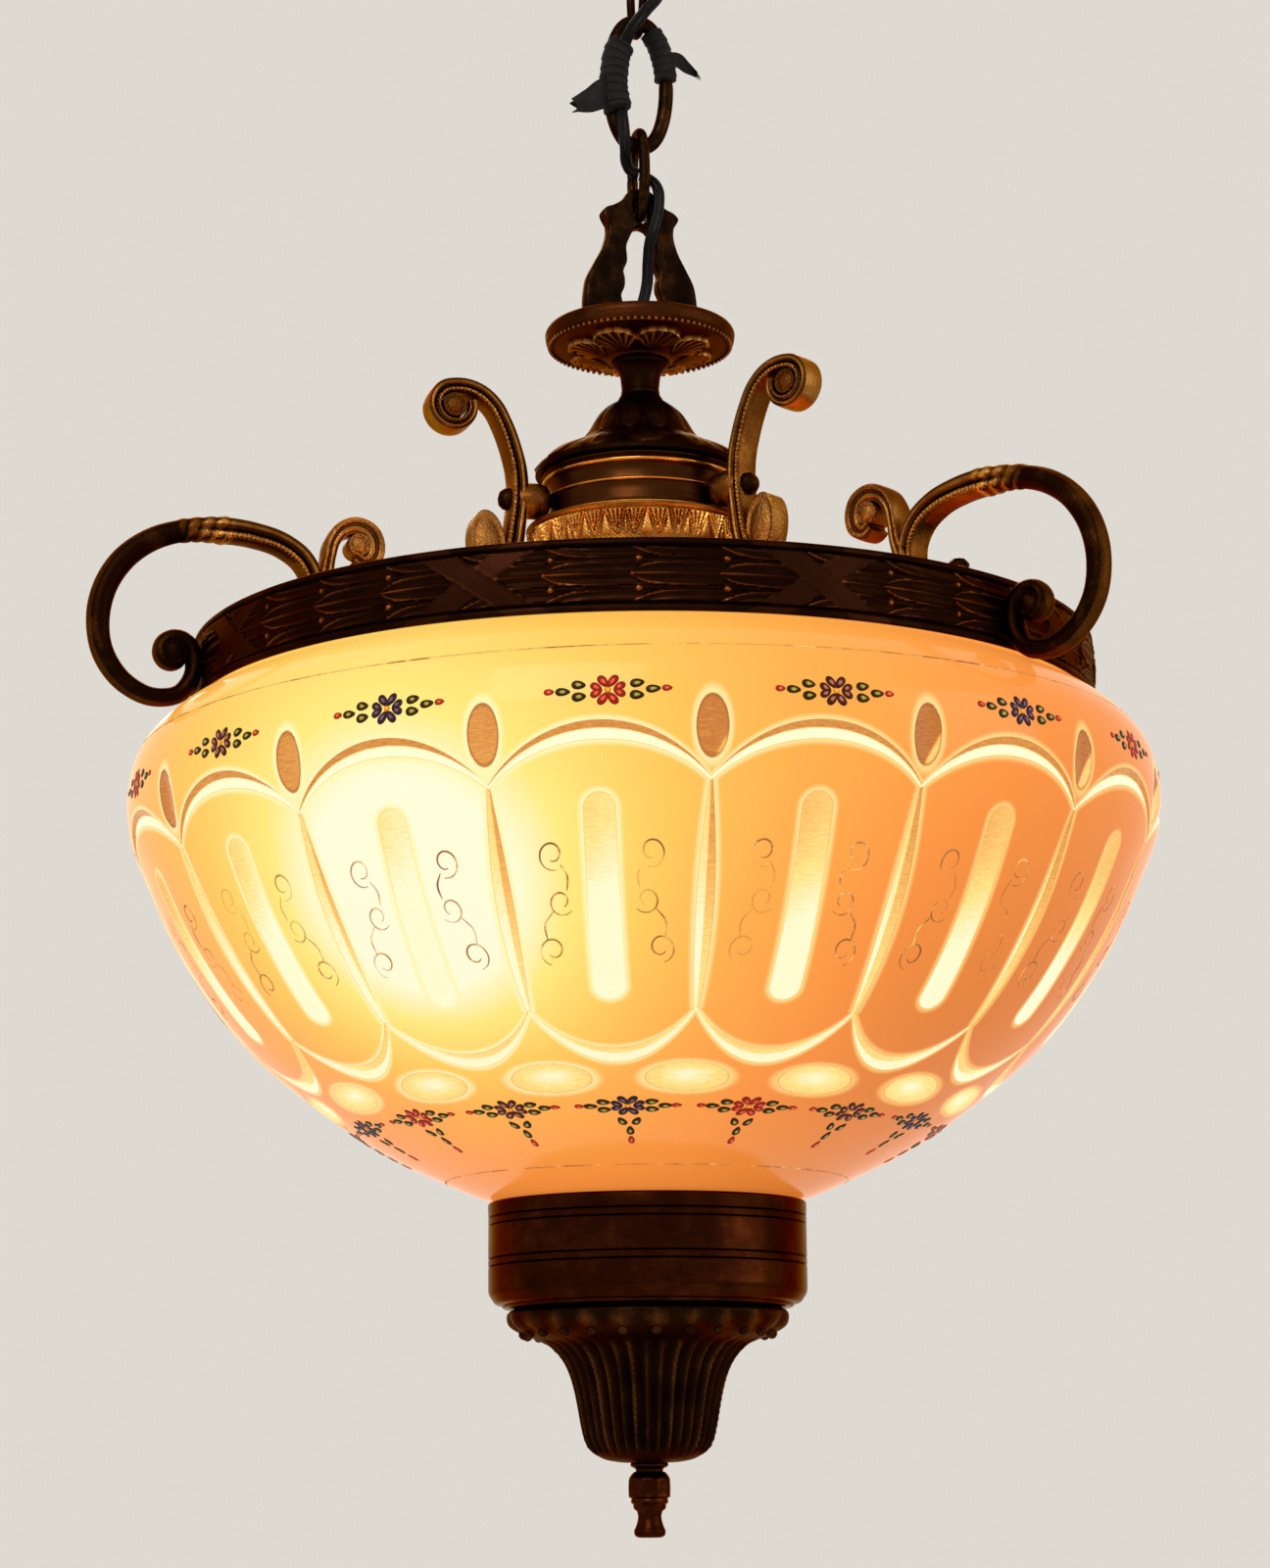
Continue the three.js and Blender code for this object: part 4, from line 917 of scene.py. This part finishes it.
def cut_glass():
    """Opal glass whose light from inside is painted in as glow. The distance to the nearest cut is
    worked out from the angle round the bowl and the distance down it, so the clear glass and its
    painted bright edge stay sharp."""
    # The glass glows by painted emission in the colour of its painted light; the base colour is a
    # dark share of it.
    finish = new_finish("cut_opal_glass", Roughness=0.12, Specular_IOR_Level=0.15,
                        Emission_Strength=0.78)
    tree = finish.node_tree

    def mix(share, first, second):
        return add_node(tree, "Mix", {0: share, 6: first, 7: second}, 2, data_type="RGBA")

    def stretch(value, low, high):
        return add_node(tree, "MapRange", (value, low, high), interpolation_type="SMOOTHSTEP")

    where = place_on_piece(finish)
    x, y, z = (add_node(tree, "SeparateXYZ", (where,), axis) for axis in "XYZ")
    run = mark(finish, "run")
    angle = x.math("ARCTAN2", y * -1) - first_window
    radius = (x * x + y * y)**0.5 * 1000
    off_window = angle.math("PINGPONG", half_panel)
    beside_mitre = (half_panel - off_window) * radius
    window, oval_cut, dot_cut = flutes(off_window * radius, beside_mitre, run)
    window = (window - 1) * window_half_width
    oval_cut = (oval_cut - 1) * oval[1]
    dot_cut = (dot_cut - 1) * dot[2]
    (arch_run, arch_wide), (foot_run, foot_wide) = borders(off_window / half_panel)
    arch = abs(run - arch_run) - arch_wide
    foot = abs(run - foot_run) - foot_wide
    down = down_mitre(run)
    wide = ((down * 0.86 + 0.06) * math.pi).math("SINE") * mitre_half_width
    beyond = (abs(down - 0.5) - 0.5).math("MAXIMUM", 0) * 400
    mitre = beside_mitre - wide + beyond
    # In millimetres from the nearest cut: clear glass inside it, a painted glow in the opal beside
    # it.
    nearest = window
    for shape in (oval_cut, dot_cut, arch, foot, mitre):
        nearest = nearest.math("MINIMUM", shape)
    cut = stretch(nearest, 0.25, -0.2)
    edge = stretch(nearest, 2.6, 0.3)

    # Light from the lit bulb through each kind of cut, brighter on the side that faces it.
    grain = cloud(where, 900, 3)
    scratches = cloud(place_on_piece(finish, (0.5, 0.5, 6)), 500, 5, 0.7)
    reach = add_node(tree, "VectorMath", (where, lit_point), "Value", operation="DISTANCE")
    far = (reach / glow_reach)**2
    near = (far * -1).math("EXPONENT")
    core = (far * -5).math("EXPONENT")
    side = angle.math("WRAP", half_panel, -half_panel)
    beside = (angle + half_panel).math("WRAP", half_panel, -half_panel)
    slant = (run - run_at(oval[0])) * 0.055 + beside * radius * 0.1 + x * 2.4
    seen = stretch(window, 1.0, -0.5) * (
        stretch(run, run_at(window_top) + 6, run_at(window_foot) - 6) * 0.5
        + stretch(side, -0.03, 0.03) * 0.08 + near * 0.3 + 0.4)
    for light in (
            stretch(oval_cut, 0.5, -1) * (stretch(slant, 0.5, 0.7) * 0.4 + near * 0.22 + 0.14),
            stretch(arch, 0.3, -0.3) * (stretch(run - arch_run, -0.9, -0.2) * 0.6 + 0.26),
            stretch(foot, 0.3, -0.3) * (stretch(run - foot_run, -0.2, 0.6) * 0.3 + 0.55),
            stretch(mitre, 0.3, -0.3) * (stretch(down, 0.1, 0.9) * 0.3 + 0.62
                                         - stretch(beside, -0.002, 0.002) * 0.3),
            stretch(dot_cut, 0.3, -0.3) * (stretch(dot_cut, 0, -8) * 0.25 + 0.58)):
        seen = seen.math("MAXIMUM", light)
    seen = seen + (scratches - 0.5) * 0.45 + (grain - 0.5) * 0.12
    # Colour of the opal by how much painted light reaches it: most near the bulb, least at foot and
    # right.
    painted_light = (near * 0.72 + core * 0.34 + stretch(z, -0.5, -0.345) * 0.26 + 0.05
              - stretch(x, -0.03, 0.16) * 0.17 + (cloud(where, 9, 3) - 0.5) * 0.1)
    opal = stops(painted_light, (0.0, "dc7a30"), (0.2, "f99340"), (0.4, "ffae4c"), (0.58, "ffca5c"),
                 (0.82, "ffe980"), (1.0, "fffbd8"))
    clear = stops(seen, (0.0, "965422"), (0.2, "cc7c38"), (0.42, "f9b75f"), (0.64, "ffe388"),
                  (0.85, "fffad0"))
    edge_glow = stops(painted_light, (0.0, "ffb764"), (0.3, "ffd886"), (0.7, "fff5b4"))
    colour = mix(cut, mix(edge, opal, edge_glow), clear)
    feed(finish, Base_Color=mix(0.74, colour, (0, 0, 0, 1)), Emission_Color=colour,
         Normal=relief(scratches * cut, 0.00012))
    return finish


bowl_points, bowl_runs = bowl_grid()
surface("cut_glass_bowl", bowl_points, cut_glass(), "opal_glass", along=True,
        replaces=("glass_bowl",), sharp=36, run=bowl_runs)

# Painted sprays: thick enamel dabs fired on the glass, a flower of four heart petals with leaves
# and red tips over each window, and one with a hanging sprig below each window. A petal is two
# dabs: its direction, start, half spread in degrees, half length and half width are listed.
petals_of_flower = ((90, 1.1, 40, 2.8, 1.55), (270, 1.1, 40, 2.8, 1.55),
                    (180, 2.1, 30, 2.4, 1.45), (0, 2.1, 30, 2.4, 1.45))
spray_runs = {"upper": run_at(-362.5), "lower": run_at(-491) + 1.3}
flower_paints = {"red": ("7a1c0c", "e8482e"), "mauve": ("3c1608", "a4604c"),
                 "blue": ("2c161c", "685062")}
flower_order = {"upper": ("mauve", "blue", "red"), "lower": ("red", "mauve", "blue")}
dab_height = 0.4


def enamel(name, outline, middle):
    """Glossy enamel, dark where the brush stroke ends at its rim and paler in its middle, with a
    painted glow in its own colour.
    """
    finish = new_finish(name, Roughness=0.24, Specular_IOR_Level=0.08, Emission_Strength=0.4)
    streak = cloud(place_on_piece(finish, (1, 1, 2)), 900, 4)
    colour = stops(mark(finish, "rim") + streak * 0.55, (0.5, middle), (0.74, outline))
    feed(finish, Base_Color=colour, Emission_Color=colour, Normal=relief(streak, 0.00015))
    return finish


def dabs(name, finish, places):
    """One piece of small domes on the glass, each an ellipse whose height falls to the rim as a
    parabola and whose underside is sunk a little into the glass. A place is angle, run, aside,
    down, half length, half width and turn."""
    angle, run, aside, down, half_long, half_wide, turn = np.array(places, float).T[..., None, None]
    run = run + down
    angle = angle + aside / glass_radius(run)
    share = np.array([0.02, 0.4, 0.68, 0.88, 1, 0.6, 0.02])[:, None]
    lift = np.array([1, 0.86, 0.62, 0.34, -0.1, -0.5, -0.5])[:, None] * dab_height
    way = full_turn(12)
    length = share * half_long * np.cos(way)
    width = share * half_wide * np.sin(way) * (1 - 0.25 * np.cos(way))
    aside = length * np.cos(turn) - width * np.sin(turn)
    down = -length * np.sin(turn) - width * np.cos(turn)
    surface(name, on_glass(angle + aside / glass_radius(run), run + down, lift), finish, rim=share)


petals = {colour: [] for colour in flower_paints}
leaves, tips, hearts = [], [], []
for row, spray_run in spray_runs.items():
    for panel in range(panels):
        at = (panel * 2 * half_panel + 0.02, spray_run)
        signed = panel if panel < panels // 2 else panel - panels
        colour = flower_order[row][signed % 3]
        for towards, start, spread, half_long, half_wide in petals_of_flower:
            for turn in np.radians([towards - spread, towards + spread]):
                axis = math.radians(towards)
                aside = start * math.cos(axis) + 0.86 * half_long * math.cos(turn)
                up = start * math.sin(axis) + 0.86 * half_long * math.sin(turn)
                petals[colour].append((*at, aside, -up, half_long, half_wide, turn + math.pi))
        hearts.append((*at, 0, 0, 1.3, 1.1, 0))
        spread = 1.0 if row == "upper" else 0.87
        for side in (-spread, spread):
            leaves += [(*at, side * 9.9, -2.1, 2.6, 1.65, 0.12 * side),
                       (*at, side * 9.8, 2.1, 2.6, 1.7, -0.08 * side),
                       (*at, side * 15.3, 0.1, 2.7, 1.5, 0.05 * side)]
            tips.append((*at, side * 20.0, -0.1, 1.9, 1.2, 0))
        if row == "lower":
            leaves += [(*at, -2.6, 9.0, 2.6, 1.6, 2.0), (*at, 2.6, 9.0, 2.6, 1.6, 1.14),
                       (*at, 0, 14.8, 2.9, 1.5, math.pi / 2)]
            tips.append((*at, 0, 20.8, 2.7, 1.25, math.pi / 2))
for colour, (outline, middle) in flower_paints.items():
    dabs(f"petals_{colour}", enamel(f"{colour}_enamel", outline, middle), petals[colour])
dabs("spray_leaves", enamel("green_enamel", "2e1a04", "9c9038"), leaves)
dabs("spray_tips", enamel("coral_enamel", "8a2414", "e2603c"), tips)
dabs("flower_hearts", enamel("orange_enamel", "c8761c", "f7b13c"), hearts)

# Gilding: thin fired gold, a line round the shoulder, a line round the foot and three curls each
# side of every window. The gold is worn brown, and the foot line is rubbed away in places.
curl_places = [(-17.0, 21, 5.0, 70, 400), (-14.6, 38, 4.6, 40, 380), (-18.4, 56, 5.0, 100, 400)]
stem_runs = [[(-14.2, 24.6), (-12.0, 29), (-12.4, 34)], [(-17.6, 41.5), (-20.6, 46), (-20.2, 52)]]
line_half_width, line_height = 0.37, 0.09


def gilt_stroke(angle, run, wide):
    """A flat stroke on the glass along points given by angle and run, with a lens section."""
    path = on_glass(angle, run, 0.02)
    out = unit(on_glass(angle, run, 1.0) - path)
    across = unit(np.cross(unit(np.gradient(path, axis=0)), out))
    turn = full_turn(6)[:, None]
    return (path[:, None] + across[:, None] * wide[:, None, None] * np.cos(turn)
            + out[:, None] * line_height * np.sin(turn))


def worn_gold():
    """Dull brown gold, worn thin and dark along the strokes, with a painted glow in its own colour.
    """
    finish = new_finish("worn_gold", Metallic=0.3, Emission_Strength=0.4)
    where = place_on_piece(finish)
    rub = cloud(where, 130, 6, 0.7)
    colour = stops(rub, (0.32, "6a3a14"), (0.5, "a0622a"), (0.62, "ecb468"))
    feed(finish, Base_Color=colour, Emission_Color=colour,
         Alpha=stops(cloud(where, 34, 2), (0.42, 0.3), (0.54, 1.0)),
         Roughness=stops(rub, (0.3, 0.6), (0.8, 0.35)))
    return finish


gold = worn_gold()
share = np.linspace(0, 1, 30)
taper = line_half_width * (0.35 + 0.65 * np.sin(np.linspace(0.15, 2.9, 30)))
strokes = []
for aside, down, size, start, sweep_degrees in curl_places:
    turn = np.radians(start + sweep_degrees * share)
    reach = size * (1 - 0.62 * share)
    strokes.append((aside + reach * np.cos(turn), down + reach * np.sin(turn) * 1.15))
strokes += [through(points, 30).T for points in stem_runs]
tracery = []
for panel in range(panels):
    for side in (-1, 1):
        for aside, down in strokes:
            run = run_at(window_top) + down
            angle = panel * 2 * half_panel - side * aside / glass_radius(run)
            tracery.append(gilt_stroke(angle, run, taper))
surface("gilt_tracery", tracery, gold, "gold_brass")
turn = np.linspace(0, 2 * np.pi, 400)
shoulder = gilt_stroke(turn, np.full(400, run_at(-345.5)), 0.32 + 0.1 * np.sin(7 * turn))
surface("gilt_shoulder_line", shoulder, gold, "gold_brass")
arc_ends = ((0.2, 1.1), (1.2, 1.95), (2.05, 3.3), (3.5, 4.2), (4.3, 5.25), (5.35, 5.75), (5.82, 6.4))
arc_taper = 0.5 * np.sin(np.linspace(0.1, 3.04, 90))**0.4
surface("gilt_foot_line", [gilt_stroke(np.linspace(*ends, 90), np.full(90, run_at(-509.3)), arc_taper)
                           for ends in arc_ends], gold, "gold_brass")

# Bottom: a spun brass drum with two pairs of turned grooves, a cast bell with a leaf row, rope
# ribs and reeds, and a faceted finial screwed on the tube's end.
# The cup's colour is drawn into fine upright streaks: spinning marks, and painted streaks of
# reflection.
cup_brass = aged_metal("cup_brass", "180702", "2e1005", "4c220b", (0.15, 0.28), 55,
                       drawn=(0.1, 0.1, 3), pits=0.00002)
groove = ((60.9, 0.0), (60.2, -0.4), (60.9, -0.8), (60.9, -2.9), (60.2, -3.3), (60.9, -3.7))


def grooves(height):
    return [(radius, height + drop, 0) for radius, drop in groove]


surface("grooved_cup", turned(moulding(
    (57.5, -517.3, 0), (60.2, -517.3, 0), (61, -518.2, 0.2), *grooves(-522.7), *grooves(-538.3),
    (60.9, -549.4, 0), (59.4, -553.8, 0.5), (56.6, -555.9, 0.5), (55.8, -556, 0),
    (54.6, -557.2, 0.3), (bore, -557.2, 0), (bore, -555.4, 0), (55.6, -553, 0)), 160),
    cup_brass, "brown_brass", along=True, replaces=("bottom_cup",))
ropes = 12
bell_line = through([[45, -557.4], [51.6, -557.7], [53.4, -559.4], [52.8, -562], [50.4, -564.8],
                     [46.6, -567.2], [42.2, -569], [37.8, -570.8], [34.2, -573.8], [31.4, -577.8],
                     [29.4, -582.4], [27.8, -588], [26.4, -595], [25.2, -601.6], [23.8, -606.8],
                     [21.6, -610.6], [17.8, -613.2], [12, -614.6], [bore, -615]], 150)


def bell_relief(height, angle):
    """Twelve ribs twisted like rope with two plain reeds between each pair, hollows between them
    as a squared sine, under a row of upright leaves that turn over at their tips."""
    step = 2 * np.pi / ropes
    off = off_nearest(angle, step) / step
    fade = np.clip((-568.5 - height) / 4, 0, 1) * np.clip((height + 612.5) / 4, 0, 1)
    rope = hump(off, 0, 0.075) * (0.78 + 0.22 * np.sin(2.6 * height + 44 * off))
    reed = hump(np.abs(off), 1 / 3, 0.06)
    flute = fade * (1.2 * rope + 0.55 * reed - 0.65 * np.sin(3 * np.pi * off)**2)
    leaf = (0.5 + 0.5 * np.cos(2 * ropes * angle))**0.7 * hump(height, -563, 3.2)
    vein = 0.25 * hump(off_nearest(angle * ropes / np.pi, 1), 0, 0.08)
    return flute + (0.8 + vein) * leaf


lift = bell_relief(bell_line[:, 1:], full_turn(528))
relief_ring("fluted_bell", "bell", dark_bronze, "dark_bronze", bell_line, lift, 0.35 + 0.4 * lift,
            [[bore, -612], [17, -609], [24, -584], [37.6, -560], [bore, -559.6], [bore, -557.4]], 0.3)
surface("bell_leaf_tips", bead_row(24, 47.2, -566.8, 2.2), dark_bronze, "dark_bronze", proud=0.6)
finial_line = moulding(
    (0.02, -600, 0), (2.9, -600, 0), (2.9, -614.6, 0), (6.6, -614.6, 0), (7.1, -616.2, 0.3),
    (5.2, -617.3, 0), (5.2, -618.2, 0), (6.4, -618.8, 0.2), (7.9, -620.8, 0.1), (8.1, -621.6, 0),
    (8.1, -627.6, 0.15), (7.0, -628.2, 0), (7.0, -629.8, 0.1), (6.2, -630.4, 0), (6.0, -632, 0.1),
    (4.9, -632.8, 0), (4.6, -636.2, -0.3), (bore, -639.4, -0.1), (5.9, -640.8, 0.2),
    (5.4, -642, 0.2), (3.6, -642.6, 0.2), (0.02, -642.6, 0))
facets = hump(finial_line[:, 1:], -624.6, 3.6, 4) * (0.5 - 0.5 * np.cos(8 * full_turn(96)))
surface("turned_finial", turned(finial_line, 96, -0.55 * facets), cup_brass, "brown_brass",
        replaces=("finial",))

# Inner fittings: brass tube, hub, plates, nuts and screws, rubber gaskets, white porcelain
# lampholders and terminal block. Bought parts; only glimpsed between the arms and the ring.
plain_brass = aged_metal("plain_brass", "3a1f0b", "84592a", "c39552", (0.25, 0.42), 120)


def even_finish(name, scale, detail, low, high, **values):
    """A nearly even colour, mottled between two stops. Returns the material and its colour."""
    finish = new_finish(name, **values)
    speck = cloud(place_on_piece(finish), scale, detail)
    colour = stops(speck, low, high)
    feed(finish, Base_Color=colour)
    return finish, speck, colour


soft_rubber, dust, _ = even_finish("soft_rubber", 300, 5, (0.35, "15110f"), (0.75, "2c2622"),
                                   Roughness=0.8)
feed(soft_rubber, Normal=relief(dust, 0.0001))
porcelain, _, _ = even_finish("porcelain", 90, 5, (0.3, "d8cfbd"), (0.7, "ece6d8"), Roughness=0.2)
lit_bulb, _, heat = even_finish("lit_bulb", 30, 2, (0.3, "ffb45e"), (0.7, "ffcf8a"), Roughness=0.1,
                                Emission_Strength=9.0)
feed(lit_bulb, Emission_Color=heat)
fittings = [(plain_brass, ("yoke_nut", "centre_tube", "base_plate", "base_nut", "inner_nut",
                           "inner_washer", "support_plate", "support_nut", "cluster_hub", "hub_nut")),
            (soft_rubber, ("ring_gasket", "inner_gasket", "outer_gasket")),
            (porcelain, ("terminal_block",))]
for place in arm_turns:
    fittings += [(plain_brass, (f"arm_nut_{place}", f"ring_nut_{place}")),
                 (lacquered_brass, (f"ring_screw_{place}",)),
                 (porcelain, (f"lampholder_{place}",)), (lit_bulb, (f"bulb_{place}",))]
for finish, nodes in fittings:
    for node in nodes:
        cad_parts[node].material_slots[0].material = finish

# Studio: a pale floor well below the lamp, a pale backdrop, one broad key lamp high on the left,
# a softer fill on the right and even light from all round.
floor_height = -1.9
floor_half = 30
floor_code = "e6dfd2"
lamp_middle = -0.35
mesh = bpy.data.meshes.new("studio_floor")
mesh.from_pydata([(x, y, floor_height) for x, y in (
    (-floor_half, -floor_half), (floor_half, -floor_half), (floor_half, floor_half),
    (-floor_half, floor_half))], [], [(0, 1, 2, 3)])
mesh.materials.append(even_finish(
    "pale_floor", 3, 4, (0.3, floor_code), (0.8, floor_code), Roughness=0.9,
    Specular_IOR_Level=0.1, Emission_Color=paint(floor_code), Emission_Strength=0.14)[0])
add_object("studio_floor", mesh)

world = bpy.data.worlds.new("studio_light")
bpy.context.scene.world = world
world.use_nodes = True
tree = world.node_tree
ground = tree.nodes["Background"]
ground.inputs["Color"].default_value = paint("cfd3da")
ground.inputs["Strength"].default_value = 1.1
pale = add_node(tree, "Background", (paint("e9e4dc"), 0.9))
camera_ray, glossy_ray, clear_ray = (add_node(tree, "LightPath", (), f"Is {kind} Ray")
                                     for kind in ("Camera", "Glossy", "Transmission"))
seen_rays = camera_ray.math("MAXIMUM", glossy_ray).math("MAXIMUM", clear_ray)
connect(add_node(tree, "MixShader", (seen_rays, Shade(tree, ground.outputs[0]), pale)),
        tree.nodes["World Output"].inputs["Surface"])

for name, place, size, power in (("key_lamp", (-1.6, -2.2, 1.3), 1.6, 34),
                                 ("fill_lamp", (2.2, -1.6, 0.2), 1.8, 15),
                                 ("back_lamp", (0.6, 2.4, 1.2), 1.6, 20)):
    lamp_data = bpy.data.lights.new(name, "AREA")
    lamp_data.size = size
    lamp_data.energy = power
    lamp = add_object(name, lamp_data)
    spot = Matrix.Translation(place)
    aim = -spot.to_translation()
    aim.z += lamp_middle
    lamp.matrix_world = spot @ aim.to_track_quat("-Z", "Y").to_matrix().to_4x4()

bpy.context.scene.view_settings.view_transform = "Standard"
